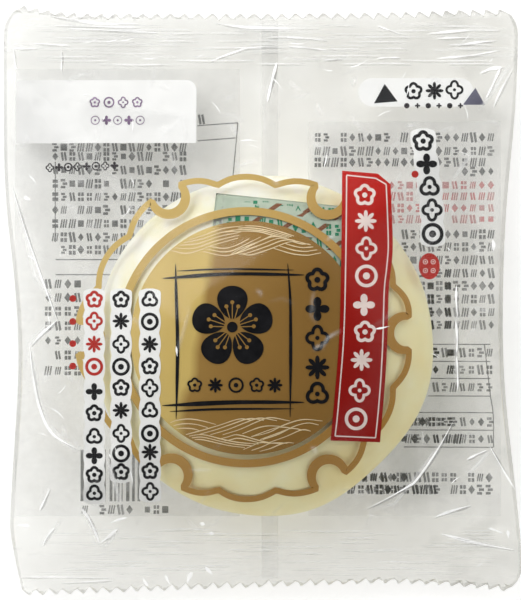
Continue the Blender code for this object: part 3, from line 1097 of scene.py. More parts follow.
def mark_tree():
    """Puts a mark on every point: a petalled outline or solid shape, with a dot in the middle."""
    tree, start, end = node_tree(
        "small marks", Petals=5.0, Notch=0.2, Stretch=1.0, Line=0.26, Dot=0.2, Solid=False
    )
    nodes, links = tree.nodes, tree.links
    place = nodes.new("GeometryNodeInputPosition")
    parts = nodes.new("ShaderNodeSeparateXYZ")
    links.new(place.outputs["Position"], parts.inputs["Vector"])
    turn = maths(nodes, links, "ARCTAN2", parts.outputs["X"], parts.outputs["Y"])
    turns = maths(nodes, links, "MULTIPLY", turn, start.outputs["Petals"])
    wave = maths(nodes, links, "COSINE", maths(nodes, links, "MULTIPLY", turns, 0.5))
    lobes = maths(nodes, links, "MULTIPLY_ADD", maths(nodes, links, "ABSOLUTE", wave), 2.0, -1.0)
    reach = maths(nodes, links, "MULTIPLY_ADD", lobes, start.outputs["Notch"], 1.0)
    shaped = nodes.new("ShaderNodeVectorMath")
    shaped.operation = "SCALE"
    links.new(place.outputs["Position"], shaped.inputs[0])
    links.new(reach, shaped.inputs["Scale"])
    tall = nodes.new("ShaderNodeCombineXYZ")
    tall.inputs["X"].default_value = 1.0
    links.new(start.outputs["Stretch"], tall.inputs["Y"])
    stretched = nodes.new("ShaderNodeVectorMath")
    stretched.operation = "MULTIPLY"
    links.new(shaped.outputs["Vector"], stretched.inputs[0])
    links.new(tall.outputs["Vector"], stretched.inputs[1])

    disc = nodes.new("GeometryNodeMeshCircle")
    disc.fill_type = "TRIANGLE_FAN"
    disc.inputs["Vertices"].default_value = MARK_SIDES
    disc.inputs["Radius"].default_value = 1.0
    solid = nodes.new("GeometryNodeSetPosition")
    links.new(disc.outputs["Mesh"], solid.inputs["Geometry"])
    links.new(stretched.outputs["Vector"], solid.inputs["Position"])

    hoop = nodes.new("GeometryNodeCurvePrimitiveCircle")
    hoop.inputs["Resolution"].default_value = MARK_SIDES
    hoop.inputs["Radius"].default_value = 0.88
    bent = nodes.new("GeometryNodeSetPosition")
    links.new(hoop.outputs["Curve"], bent.inputs["Geometry"])
    links.new(stretched.outputs["Vector"], bent.inputs["Position"])
    outline = nodes.new("GeometryNodeCurveToMesh")
    links.new(bent.outputs["Geometry"], outline.inputs["Curve"])
    links.new(flat_nib(nodes), outline.inputs["Profile Curve"])
    links.new(start.outputs["Line"], outline.inputs["Scale"])

    either = nodes.new("GeometryNodeSwitch")
    either.input_type = "GEOMETRY"
    links.new(start.outputs["Solid"], either.inputs["Switch"])
    links.new(outline.outputs["Mesh"], either.inputs["False"])
    links.new(solid.outputs["Geometry"], either.inputs["True"])
    dot = nodes.new("GeometryNodeMeshCircle")
    dot.fill_type = "TRIANGLE_FAN"
    dot.inputs["Vertices"].default_value = 16
    links.new(start.outputs["Dot"], dot.inputs["Radius"])
    both = nodes.new("GeometryNodeJoinGeometry")
    links.new(dot.outputs["Mesh"], both.inputs["Geometry"])
    links.new(either.outputs["Output"], both.inputs["Geometry"])

    each = nodes.new("GeometryNodeInstanceOnPoints")
    links.new(start.outputs["Geometry"], each.inputs["Points"])
    links.new(both.outputs["Geometry"], each.inputs["Instance"])
    links.new(point_value(nodes, "size"), each.inputs["Scale"])
    return end_tree(tree, start, end, each.outputs["Instances"])


MARKS = mark_tree()
# Petals, notch depth, height over width, line width, dot radius, and whether it is solid.
MARK_KINDS = {
    "plum": (5.0, 0.16, 1.0, 0.30, 0.26, False),
    "ring": (1.0, 0.0, 1.0, 0.26, 0.30, False),
    "lozenge": (4.0, 0.26, 1.1, 0.28, 0.20, False),
    "aster": (8.0, 0.42, 1.0, 0.0, 0.2, True),
    "cross": (4.0, 0.52, 1.0, 0.0, 0.2, True),
    "trefoil": (3.0, 0.24, 1.0, 0.30, 0.22, False),
    "disc": (1.0, 0.0, 1.0, 0.0, 0.2, True),
}


def marks(places, size, kinds, ink, weight=1.0):
    """Marks of each kind in turn at the places, about size wide, their lines as heavy as asked."""
    drawing = Drawing()
    for number, kind in enumerate(kinds):
        chosen = places[number :: len(kinds)]
        if not chosen:
            continue
        petals, notch, stretch, line, dot, solid = MARK_KINDS[kind]
        values = {"Petals": petals, "Notch": notch, "Stretch": stretch, "Ink": ink, "Solid": solid}
        values |= {"Line": line * weight, "Dot": dot * weight**0.5}
        scale = size / 2 / (1 + notch)
        sizes = {"size": [scale] * len(chosen)}
        drawing.add(*grown("mark places", chosen, [], sizes, MARKS, **values))
    return drawing


tips = marks(stamen_tips, 0.8, ["disc"], gold)
stamen_print.take(tips)
laid(stamen_print, "flower_stamens", front_map, under_front(-0.6), gold)

SMALL_ROW = [(ROSETTE[0] + x, ROSETTE[1] - 9.5) for x in (-10.4, -6.2, -2.0, 2.2, 5.9)]
RIGHT_COLUMN = [(11.1, y) for y in (4.2, -1.7, -7.6, -13.6, -19.0)]
dark_marks = marks(SMALL_ROW, 3.1, ["plum", "aster", "ring"], black)
right_kinds = ["plum", "cross", "lozenge", "aster", "trefoil"]
dark_marks.take(marks(RIGHT_COLUMN, 4.9, right_kinds, black, weight=1.2))
laid(dark_marks, "black_marks", front_map, under_front(0), black)

# The banner: a tall strip of red ink with one clipped corner, a fine pale line inside its
# edge and nine pale marks. It overlaps the gold field and runs past the rosette.
BANNER_LEFT = [(16.2, 26.5), (16.0, 10.4), (15.6, -6.0), (14.8, -17.3), (13.8, -28.5)]
BANNER_RIGHT = [(26.1, 23.7), (26.5, 10.8), (25.7, 2.6), (25.4, -7.1), (24.9, -16.7), (23.9, -28.9)]
BANNER_CLIP = (23.5, 25.9)
BANNER_INSET = 0.92
BANNER_LINE = 0.26
BANNER_REDS_PAINTED_LIGHT = [
    (0.0, (0.56, 0.008, 0.003)),
    (0.35, (0.42, 0.007, 0.002)),
    (0.7, (0.33, 0.004, 0.001)),
    (1.0, (0.33, 0.003, 0.001)),
]
BANNER_MARKS = [
    (20.8, 21.5), (21.0, 16.2), (21.1, 10.6), (21.1, 5.0), (20.6, -0.9),
    (20.8, -6.4), (20.1, -12.1), (19.7, -18.3), (19.0, -24.1),
]

banner_left = smooth_line(BANNER_LEFT, 61)
banner_right = smooth_line(BANNER_RIGHT, 61)
banner = Drawing()
banner.band(banner_right.tolist(), banner_left.tolist(), across=12)
banner.faces = upward(banner.points, banner.faces)
banner.add([banner_left[0], banner_right[0], BANNER_CLIP], [(0, 1, 2)])


def painted_light_banner_finish():
    """Red ink with painted light: brighter at the upper end, a painted highlight where the film leans
    towards the light, and darker below in painted shade.
    """
    material, nodes, links, surface = new_finish("red banner ink")
    along = slope_over_pack(nodes, links, math.radians(-90), -0.026, 0.028)
    inked(nodes, links, surface, ramp(nodes, links, along, BANNER_REDS_PAINTED_LIGHT), 0.55, 0.1)
    return material


red = ink_finish("red ink", (0.50, 0.030, 0.022), 0.55, 0.08)
banner_red = painted_light_banner_finish()
laid(banner, "red_banner", front_map, under_front(1), banner_red)

pale = ink_finish("pale ink", (0.90, 0.77, 0.73))
inset_left = banner_left + np.array([BANNER_INSET, 0])
inset_right = banner_right - np.array([BANNER_INSET, 0])
inset_left[0] += np.array([0, -BANNER_INSET])
inset_left[-1] += np.array([0, BANNER_INSET])
inset_right[-1] += np.array([0, BANNER_INSET])
clip_point = np.array(BANNER_CLIP) + np.array([-0.45, -0.95])
edge_lines = [inset_left[::6], inset_right[::6]]
edge_lines += [np.array([inset_left[0], clip_point]), np.array([clip_point, inset_right[0]])]
edge_lines.append(np.array([inset_left[-1], inset_right[-1]]))
banner_print = strokes(edge_lines, BANNER_LINE, 0.5, pale)
banner_kinds = ["plum", "aster", "lozenge", "ring", "cross"]
banner_flowers = marks(BANNER_MARKS, 4.5, banner_kinds, pale, weight=1.15)
banner_print.take(banner_flowers)
laid(banner_print, "banner_marks", front_map, under_front(0), pale)

# The three columns at the left: black and red marks, each on a white halo with scalloped
# edges, and four red dots beside them.
COLUMN_C = [(-23.0, y) for y in (0.2, -4.3, -8.9, -13.4, -17.8, -22.4, -27.1, -30.9, -34.8, -39.0)]
COLUMN_B = [(-28.9, y) for y in (0.2, -4.2, -8.9, -13.5, -17.8, -22.4, -27.1, -31.2, -35.0)]
COLUMN_A_RED = [(-34.4, y) for y in (0.2, -4.2, -8.9, -13.5)]
COLUMN_A = [(-34.4, y) for y in (-18.6, -23.0, -27.8, -31.7, -35.6, -39.4)]
RED_DOTS = [(-38.8, y) for y in (0.4, -4.3, -8.8, -13.4)]
MARK_WIDTH = 3.5
MARK_WEIGHT = 1.3
DOT_WIDTH = 1.4
HALO_WIDTH = 4.5


def halo(places, width):
    """A white strip behind a column of marks, wider round each mark than between them."""
    top, bottom = places[0][1] + width / 2, places[-1][1] - width / 2
    heights = np.array([y for _, y in places])
    left, right = [], []
    for y in np.linspace(top, bottom, 12 * len(places)):
        nearest = np.abs(heights - y).min()
        rounded = math.sqrt(max(1 - max(nearest - 1.4, 0) ** 2 / (width / 2 - 1.4) ** 2, 0))
        at_end = min(top - y, y - bottom) < width / 2
        half = width / 2 * (0.35 + 0.65 * rounded) if at_end else width / 2 - 0.07 * nearest**2
        x = np.interp(-y, -heights, [x for x, _ in places])
        left.append((x - half, y))
        right.append((x + half, y))
    strip = Drawing()
    strip.band(right, left, across=4)
    strip.faces = upward(strip.points, strip.faces)
    return strip


white = ink_finish("white ink", (0.93, 0.93, 0.925), 0.45, 0.02)
halos = Drawing()
for column in (COLUMN_C, COLUMN_B, COLUMN_A_RED + COLUMN_A):
    strip = halo(column, HALO_WIDTH)
    halos.take(strip)
laid(halos, "white_halos", front_map, under_front(1), white)

column_marks = Drawing()
for column, kinds in (
    (COLUMN_C, ["trefoil", "ring", "aster", "plum", "lozenge"]),
    (COLUMN_B, ["plum", "aster", "lozenge", "ring"]),
    (COLUMN_A, ["cross", "plum", "trefoil"]),
):
    column_marks.take(marks(column, MARK_WIDTH, kinds, black, MARK_WEIGHT))
laid(column_marks, "column_marks", front_map, under_front(0), black)

red_marks = marks(COLUMN_A_RED, MARK_WIDTH, ["plum", "lozenge", "aster", "ring"], red, MARK_WEIGHT)
red_marks.take(marks(RED_DOTS, DOT_WIDTH, ["disc"], red))
laid(red_marks, "red_marks", front_map, under_front(0), red)

# The white labels at the top: a plain panel at the left, and at the right a round-ended
# one with a black pointer that shows where to tear, with a second pointer beside it.
LABEL = (-50.6, 32.2, -13.6, 45.2)
LABEL_CORNER = 2.0
PILL = (19.6, 39.7, 43.3, 45.6)
PILL_CORNER = 2.9
POINTER = [(22.8, 40.4), (27.6, 40.8), (25.0, 44.4)]
SECOND_POINTER = [(41.0, 40.1), (45.5, 40.1), (43.6, 43.6)]
PILL_PLACES = [(30.9, 42.9), (35.2, 43.0), (39.3, 43.2)]
PILL_FOOT_PLACES = [(29.5 + 2.2 * i, 39.9) for i in range(6)]
SIDE_PLACES = [(32.8, 32.6), (33.5, 27.9), (34.1, 23.2), (34.6, 18.5), (34.7, 13.6)]
LOT_PLACES = [(-43.6 + 1.9 * i, 27.2 + 0.05 * i) for i in range(8)]
DATE_PLACES = [(-34.4 + 2.9 * i, 40.6) for i in range(4)]
DATE_LOWER_PLACES = [(-34.3 + 2.3 * i, 36.9) for i in range(5)]
SEAL = (34.0, 7.0)
SEAL_RADIUS = 2.15
SEAL_DOT = (31.1, 25.8)
SEAL_DOT_RADIUS = 0.72


def rounded_panel(low_x, low_y, high_x, high_y, corner, corners=(1, 1, 1, 1)):
    """Outline of a panel, anticlockwise from the lower left, with chosen corners rounded."""
    outline = []
    spots = [
        (low_x, low_y, 180), (high_x, low_y, 270), (high_x, high_y, 0), (low_x, high_y, 90),
    ]
    for (x, y, start), rounded in zip(spots, corners):
        if not rounded:
            outline.append((x, y))
            continue
        centre_x = x + corner * (1 if x == low_x else -1)
        centre_y = y + corner * (1 if y == low_y else -1)
        for step in range(9):
            turn = math.radians(start + 90 * step / 8)
            outline.append((centre_x + corner * math.cos(turn), centre_y + corner * math.sin(turn)))
    return outline


def dense(outline, step):
    """The outline with points added so that none are further apart than the step."""
    points = []
    for (ax, ay), (bx, by) in zip(outline, outline[1:] + outline[:1]):
        count = max(int(math.hypot(bx - ax, by - ay) / step), 1)
        points += [(ax + (bx - ax) * i / count, ay + (by - ay) * i / count) for i in range(count)]
    return points


def panel(drawing, outline, step=1.2, rings=12):
    middle = tuple(np.mean(outline, axis=0))
    drawing.fan(dense(outline, step), middle, rings)


labels = Drawing()
panel(labels, rounded_panel(*LABEL, LABEL_CORNER, (0, 0, 1, 0)))
panel(labels, rounded_panel(*PILL, PILL_CORNER), rings=8)
laid(labels, "white_labels", front_map, under_front(1), white)

pointers = Drawing()
panel(pointers, POINTER, rings=4)
pointers.take(marks(PILL_PLACES, 3.7, ["plum", "aster", "lozenge"], black, weight=1.15))
side_kinds = ["plum", "cross", "trefoil", "lozenge", "ring"]
pointers.take(marks(SIDE_PLACES, 4.3, side_kinds, black, weight=1.3))
laid(pointers, "pointers", front_map, under_front(0), black)

stamp = ink_finish("stamp ink", (0.035, 0.03, 0.035), 0.6, 0.4)
lot_marks = marks(LOT_PLACES, 1.7, ["lozenge", "cross", "ring"], stamp, weight=1.25)
lot_marks.take(marks(PILL_FOOT_PLACES, 1.1, ["disc", "cross"], stamp))
laid(lot_marks, "lot_marks", front_map, under_front(-0.5), stamp)
faint = ink_finish("faint stamp ink", (0.25, 0.17, 0.28), 0.6, 0.5)
date_marks = marks(DATE_PLACES, 2.2, ["plum", "ring", "lozenge"], faint)
date_marks.take(marks(DATE_LOWER_PLACES, 1.9, ["ring", "cross"], faint, weight=0.6))
laid(date_marks, "date_marks", front_map, under_front(-0.5), faint)

side_halo = halo(SIDE_PLACES, 5.2)
laid(side_halo, "side_halo", front_map, under_front(1), white)

seal_red = Drawing()
seal_red.fan(circle(SEAL, SEAL_RADIUS, 40, 1.25), SEAL, rings=3)
seal_red.fan(circle(SEAL_DOT, SEAL_DOT_RADIUS, 20), SEAL_DOT)
laid(seal_red, "red_seal", front_map, under_front(0), red)
seal_places = [(SEAL[0] + x, SEAL[1] + y) for y in (0.9, -0.9) for x in (-0.8, 0.8)]
seal_dots = marks(seal_places, 1.0, ["ring"], pale)
laid(seal_dots, "seal_dots", front_map, under_front(-0.5), pale)

slate = ink_finish("slate ink", (0.16, 0.16, 0.22))
second_pointer = Drawing()
panel(second_pointer, SECOND_POINTER, rings=4)
laid(second_pointer, "second_pointer", front_map, under_front(0), slate)

# The back print, seen through the pack: two pale panels with grey and pink rows of plain
# hatches and dots, ruled tables and a bar pattern, on the inner side of the back film.
BACK_PANELS = [(9.3, -44.2, 48.8, 36.8), (-50.8, -44.2, -4.7, 47.5)]
DASH_ROWS = [
    (-42.6, -16.4, [31.5, 29.6, 26.8, 24.0, 21.3, 18.6, 15.8, 13.0, 10.4]),
    (11.3, 46.8, [33.5, 30.7, 28.4]),
    (41.5, 46.8, [26.5]),
    (29.2, 46.8, [13.6, 11.0, 8.3, 5.6, 3.0, 0.3, -2.4, -5.0]),
    (35.5, 46.4, [-10.7, -14.2, -17.8]),
    (30.0, 46.6, [-24.9, -28.4]),
    (20.8, 46.4, [-36.3]),
    (14.4, 46.4, [-38.8]),
    (-44.0, -38.0, [3.4, 0.6, -2.2, -5.2, -8.2, -11.2, -14.4]),
    (-12.6, -10.4, [37.2]),
    (-36.5, -20.0, [-42.9]),
]
DARK_ROWS = [
    (29.0, 38.5, [-24.9]), (29.0, 40.0, [-28.4]), (20.8, 29.0, [-36.3]), (14.6, 35.0, [-38.8]),
    (34.5, 38.0, [5.6, 3.0, 0.3, -2.4, -5.0]), (35.5, 38.5, [-10.7, -14.2]),
]
PINK_ROWS = [(26.5, 46.8, [23.7, 21.4, 19.0, 16.7])]

# Plain motifs for fine print, each bar as (x, y, width, height, turn in degrees) in a unit
# square: hatches, a group of dots, staggered dashes, a lozenge and a block.
DASH_MOTIFS = [
    [(-0.22, 0, 0.3, 0.9, 14), (0.22, 0, 0.3, 0.9, 14)],
    [(-0.32, 0, 0.2, 0.86, -14), (0, 0, 0.2, 0.86, -14), (0.32, 0, 0.2, 0.86, -14)],
    [(x, y, 0.36, 0.36, 0) for y in (0.25, -0.25) for x in (-0.23, 0.23)],
    [(-0.12, 0.32, 0.62, 0.24, 0), (0.14, 0, 0.62, 0.24, 0), (-0.1, -0.32, 0.62, 0.24, 0)],
    [(0, 0, 0.62, 0.62, 45)],
    [(0, 0, 0.8, 0.62, 0)],
]


def dash_tree():
    """Sets bar motifs along each edge line, evenly pitched, with a seeded share left out."""
    tree, start, end = node_tree("print dashes", Pitch=1.9, Height=1.5, Kept_Share=0.85, Seed=1)
    nodes, links = tree.nodes, tree.links
    curve = nodes.new("GeometryNodeMeshToCurve")
    points = nodes.new("GeometryNodeCurveToPoints")
    points.mode = "LENGTH"
    keep = nodes.new("FunctionNodeRandomValue")
    keep.data_type = "BOOLEAN"
    wide = nodes.new("FunctionNodeRandomValue")
    wide.data_type = "FLOAT"
    wide.inputs[2].default_value = 0.72
    wide.inputs[3].default_value = 0.98
    tall = nodes.new("FunctionNodeRandomValue")
    tall.data_type = "FLOAT"
    tall.inputs[2].default_value = 0.8
    tall.inputs[3].default_value = 1.05
    motifs = nodes.new("GeometryNodeJoinGeometry")
    for bars in reversed(DASH_MOTIFS):
        motif = nodes.new("GeometryNodeJoinGeometry")
        for x, y, across, up, turn in bars:
            bar = nodes.new("GeometryNodeMeshGrid")
            set_inputs(bar, Size_X=across, Size_Y=up, Vertices_X=2, Vertices_Y=2)
            shift = nodes.new("GeometryNodeTransform")
            shift.inputs["Translation"].default_value = (x, y, 0)
            shift.inputs["Rotation"].default_value = (0, 0, math.radians(turn))
            links.new(bar.outputs["Mesh"], shift.inputs["Geometry"])
            links.new(shift.outputs["Geometry"], motif.inputs["Geometry"])
        whole = nodes.new("GeometryNodeGeometryToInstance")
        links.new(motif.outputs["Geometry"], whole.inputs["Geometry"])
        links.new(whole.outputs["Instances"], motifs.inputs["Geometry"])
    which = nodes.new("FunctionNodeRandomValue")
    which.data_type = "INT"
    which.inputs[4].default_value = 0
    which.inputs[5].default_value = len(DASH_MOTIFS) - 1
    size = nodes.new("ShaderNodeCombineXYZ")
    each = nodes.new("GeometryNodeInstanceOnPoints")
    links.new(start.outputs["Geometry"], curve.inputs["Mesh"])
    links.new(curve.outputs["Curve"], points.inputs["Curve"])
    links.new(start.outputs["Pitch"], points.inputs["Length"])
    for node in (keep, wide, tall, which):
        links.new(start.outputs["Seed"], node.inputs["Seed"])
    links.new(start.outputs["Kept Share"], keep.inputs["Probability"])
    width = maths(nodes, links, "MULTIPLY", wide.outputs[1], start.outputs["Pitch"])
    height = maths(nodes, links, "MULTIPLY", tall.outputs[1], start.outputs["Height"])
    links.new(width, size.inputs["X"])
    links.new(height, size.inputs["Y"])
    links.new(points.outputs["Points"], each.inputs["Points"])
    links.new(keep.outputs[3], each.inputs["Selection"])
    links.new(motifs.outputs["Geometry"], each.inputs["Instance"])
    each.inputs["Pick Instance"].default_value = True
    links.new(which.outputs[2], each.inputs["Instance Index"])
    links.new(size.outputs["Vector"], each.inputs["Scale"])
    return end_tree(tree, start, end, each.outputs["Instances"])


DASHES = dash_tree()


def dash_rows(groups, pitch, height, ink, seed):
    points, edges = [], []
    for low_x, high_x, rows in groups:
        for y in rows:
            edges.append((len(points), len(points) + 1))
            points += [(low_x, y), (high_x, y)]
    values = {"Pitch": pitch, "Height": height, "Kept Share": 0.93, "Seed": seed, "Ink": ink}
    drawing = Drawing()
    drawing.add(*grown("dash lines", points, edges, {}, DASHES, **values))
    return drawing


def wash_finish(name, colour, strength, glint=0.0):
    """A thin layer that lets part of the light through; a painted glint, glowing by emission, lifts it a
    little past white.
    """
    material, nodes, links, surface = new_finish(name)
    clear = nodes.new("ShaderNodeBsdfTransparent")
    body = nodes.new("ShaderNodeBsdfPrincipled")
    set_inputs(body, Base_Color=(*colour, 1), Roughness=0.5, Emission_Strength=glint)
    body.inputs["Emission Color"].default_value = (1, 1, 1, 1)
    share = spread_noise(nodes, links, 3.5 * MM, 3, 0.55 * strength, min(1.25 * strength, 1))
    blend = mixed_shader(nodes, links, share, clear.outputs["BSDF"], body.outputs["BSDF"])
    links.new(blend, surface)
    return material


OVER_BACK = 0.12 * MM
back_white = wash_finish("white wash", (0.98, 0.98, 0.975), 0.10)
back_panels = Drawing()
for low_x, low_y, high_x, high_y in BACK_PANELS:
    panel(back_panels, rounded_panel(low_x, low_y, high_x, high_y, 1.0, (0, 0, 0, 0)), step=1.6, rings=14)
laid(back_panels, "back_panels", back_map, OVER_BACK, back_white)

grey = wash_finish("grey ink", (0.18, 0.19, 0.19), 0.44)
grey_print = dash_rows(DASH_ROWS, 1.72, 2.25, grey, 5)
table_lines = [np.array([(34.0, y), (46.6, y)]) for y in (-9.0, -12.5, -16.0, -19.6)]
table_lines += [np.array([(29.0, y), (47.2, y)]) for y in (-23.0, -26.6, -30.1)]
table_lines.append(np.array([(45.4, -9.0), (46.6, -19.2), (47.2, -23.4), (47.3, -30.1)]))
table_lines += [np.array([(-13.4, 35.9), (-5.1, 36.5)]), np.array([(-13.4, 32.8), (-5.6, 33.4)])]
table_lines += [np.array([(-5.1, 36.5), (-6.1, 25.6)]), np.array([(-42.6, 28.5), (-42.6, 12.0)])]
table_lines += [np.array([(-42.5, 8.4), (-29.5, 8.4)]), np.array([(-42.5, 5.3), (-30.9, 5.3)])]
rules = strokes(table_lines, 0.22, 0.8, grey)
grey_print.take(rules)
draw_bars = np.random.default_rng(31)
bar_x = -37.4
while bar_x < -21:
    bar = draw_bars.uniform(0.2, 0.75)
    panel(grey_print, [(bar_x, -41.2), (bar_x + bar, -41.2), (bar_x + bar, -30.6), (bar_x, -30.6)], rings=3)
    bar_x += bar + draw_bars.uniform(0.25, 0.8)
laid(grey_print, "grey_print", back_map, OVER_BACK + 0.06 * MM, grey)

dark_grey = wash_finish("dark grey ink", (0.05, 0.055, 0.05), 0.8)
dark_rows = dash_rows(DARK_ROWS, 1.85, 2.3, dark_grey, 12)
laid(dark_rows, "dark_print", back_map, OVER_BACK + 0.10 * MM, dark_grey)

pink = wash_finish("pink ink", (0.85, 0.33, 0.33), 0.42)
pink_print = dash_rows(PINK_ROWS, 1.72, 2.1, pink, 8)
laid(pink_print, "pink_print", back_map, OVER_BACK + 0.06 * MM, pink)

# The back seam: the sheet's two long edges, pressed together and folded flat against the
# back of the pack, running from one end seal to the other.
SEAM_X = 1.45
SEAM_HALF_WIDTH = 1.7
seam = Drawing()
seam_rows = np.linspace(-57.0, 57.5, 120)
seam_left = [(SEAM_X - SEAM_HALF_WIDTH, y) for y in seam_rows]
seam_right = [(SEAM_X + SEAM_HALF_WIDTH, y) for y in seam_rows]
seam.band(seam_left, seam_right, across=8)
seam.faces = upward(seam.points, seam.faces)
seam_film = wash_finish("seam film", (0.97, 0.97, 0.965), 0.08)
laid(seam, "back_seam", back_map, -0.05 * MM, seam_film)

# Fold marks: where the film has been creased sharply it has turned white along the fold, and the
# streak, glowing a little, is also a painted glint of the light along the crease. Each is a fine
# tapering streak, given by its width and its points in millimetres, and smaller scratches of the
# same kind are strewn over the flanks and the seals.
FOLD_GLINT_MARKS = [
    (0.3, [(-44.2, 58.5), (-40.1, 57.9), (-34, 56.9), (-25.2, 56.9)]),
    (0.18, [(-43, 56.5), (-34.4, 56.3), (-25.2, 56.1)]),
    (0.22, [(-40.1, 55.9), (-31.3, 55.5), (-21.1, 55)]),
    (0.2, [(-47.1, 52.8), (-43.2, 52.6), (-39.5, 52.4)]),
    (0.2, [(-51.2, 51.8), (-48.7, 51.7), (-46.1, 51.8)]),
    (0.15, [(-51.2, 51.8), (-51, 49.7), (-50.6, 47.7)]),
    (0.15, [(-25.2, 49.7), (-23.5, 49.6), (-21.7, 49.7)]),
    (0.12, [(-41.4, 51.6), (-41.3, 49.3), (-41.4, 46.8)]),
    (0.28, [(-10.2, 57.1), (-2.6, 56.1), (11.7, 55.9)]), (0.2, [(5, 54), (9.1, 53.8), (13.2, 53.4)]),
    (0.22, [(5, 52.2), (9.1, 51.9), (13.2, 51.4)]),
    (0.2, [(-11.4, 48.9), (-6.1, 50.9), (-2, 52), (5, 52)]),
    (0.2, [(23.4, 56.5), (25.7, 55.7), (28.1, 54.8)]),
    (0.3, [(33.7, 54.8), (41.9, 55.5), (48.6, 55.5)]), (0.2, [(35.7, 53.8), (39.4, 54), (43.1, 54)]),
    (0.25, [(39.8, 52.4), (43.9, 53), (48, 53.4)]), (0.25, [(35.7, 49.7), (42.5, 50.3), (48.6, 51.4)]),
    (0.22, [(23.4, 49.7), (25.7, 49.9), (28.1, 49.9)]),
    (0.15, [(12.3, 49.3), (14.4, 49.5), (16.4, 49.7)]),
    (0.45, [(44.5, 46.6), (46.6, 47.5), (49.2, 47.9)]),
    (0.25, [(51.3, 47.7), (48.6, 42.7), (47.2, 39.5)]),
    (0.3, [(48.8, 47.9), (47.4, 44.8), (45.8, 41.5)]), (0.4, [(2.9, 48.9), (1.9, 45.2), (0.9, 40.7)]),
    (0.18, [(-51.4, 23.3), (-48.7, 14.5), (-45.1, 4.2), (-42, -4)]),
    (0.3, [(-42, -4), (-45.1, -6.7), (-47.7, -9.5)]),
    (0.3, [(-47.7, -9.5), (-47.1, -14.9), (-45.7, -21.8), (-43, -27.2), (-37.5, -30.6)]),
    (0.25, [(-45.7, -42.9), (-44.6, -40.7), (-43.6, -38.4)]),
    (0.5, [(-48.9, 21.4), (-48.3, 20.9), (-47.5, 20.6)]),
    (0.4, [(-37.1, -42.5), (-35.4, -45), (-33.4, -49.7)]),
    (0.35, [(-33.4, -49.7), (-31.5, -48.3), (-29.7, -46.6)]),
    (0.3, [(-31.3, -45.6), (-29.5, -44.8), (-27.6, -44.4)]),
    (0.25, [(-45.1, -50.1), (-44, -48.1), (-42.6, -46.4)]),
    (0.4, [(-50.4, -46), (-48.9, -46), (-47.7, -46.2)]),
    (0.18, [(-49.8, -56.7), (-41.6, -56.7), (-30.7, -56.9)]),
    (0.15, [(-41.6, -57.9), (-36.4, -57.7), (-30.7, -57.3)]),
    (0.5, [(-24.6, -56.9), (-24.1, -57.9), (-23.5, -58.7)]),
    (0.4, [(-20, -56.3), (-19.6, -57.3), (-19, -58.3)]),
    (0.8, [(-15.5, -57.9), (-15.1, -56.7), (-14.5, -55.7)]),
    (0.5, [(-11.8, -54.6), (-11, -55.5), (-10.2, -56.3)]),
    (0.7, [(-12.9, -45.6), (-12.4, -45.7), (-11.8, -45.8)]),
    (0.6, [(-11, -47.7), (-10.6, -47.7), (-10, -47.7)]),
    (0.35, [(36.3, -47.7), (43.1, -49.5), (51.3, -51.1)]),
    (0.3, [(46.2, -46.6), (47.6, -47), (49.2, -47.7)]),
    (0.3, [(34.9, -44.4), (39, -42.9), (42.5, -41.9)]),
    (0.4, [(50.1, -47), (50.3, -47.9), (50.3, -48.7)]),
    (0.28, [(39.6, 3.2), (39.5, 0.1), (39.8, -3.2)]),
    (0.28, [(39.4, -4), (39.7, -7.7), (39.6, -10.6)]),
    (0.24, [(39.6, -11.4), (39.8, -15.1), (39.8, -18.3)]),
    (0.25, [(39, -24.5), (35.7, -30.4), (31.4, -36.6), (29.6, -38), (24.9, -40.7), (21.2, -42.5)]),
    (0.22, [(46.4, -29.8), (49.2, -34.7), (51.9, -39.1)]),
    (0.25, [(41.7, -32.5), (43.7, -31.5), (45.8, -30.6)]),
    (0.5, [(47.1, 12.6), (47.3, 11.4), (47.2, 10.1)]),
    (0.25, [(22.8, -5.8), (24.2, -5.6), (25.9, -5.2)]),
    (0.3, [(-17.6, -9.3), (-17.5, -10.4), (-17.4, -11.4)]),
]
FOLD_SWELLING = 1.25
SCRATCH_COUNT = 90
SIDE_MARGIN = 5
SHADED_FOLD = 4
# Painted glint: the fold ink glows a little by emission.
fold_and_glint_ink = wash_finish("fold white and painted glint", (1.0, 1.0, 0.995), 0.97, 0.16)
fold_widths = [FOLD_SWELLING * width for width, _ in FOLD_GLINT_MARKS]
fold_paths = [np.array(path) for _, path in FOLD_GLINT_MARKS]
scratch_draw = np.random.default_rng(23)
for _ in range(SCRATCH_COUNT):
    x, y = scratch_draw.uniform(-50, 50), scratch_draw.uniform(-56, 56)
    turn, length = scratch_draw.uniform(-0.6, 0.6), scratch_draw.uniform(0.8, 4.5)
    if abs(y) < 46:
        turn += scratch_draw.uniform(0, math.pi)
    scratch = scratch_draw.uniform(0.07, 0.2)
    inside = abs(x - pack_centre(y * MM) / MM) < pack_half_width(y * MM) / MM - SIDE_MARGIN
    if math.hypot(x, y - WAIST_Y / MM) < BUN_AREA or not inside:
        continue
    fold_widths.append(scratch)
    fold_paths.append(
        np.array([
            (x + t * length * math.cos(turn + 0.3 * t), y + t * length * math.sin(turn + 0.3 * t))
            for t in (0, 0.5, 1)
        ])
    )
fold_glint_marks = strokes(fold_paths, 1.0, 0.5, fold_and_glint_ink, taper=0.9, wobble=0.45, seed=6, weights=fold_widths)
laid(fold_glint_marks, "fold_glint_marks", front_map, 0.05 * MM, fold_and_glint_ink)

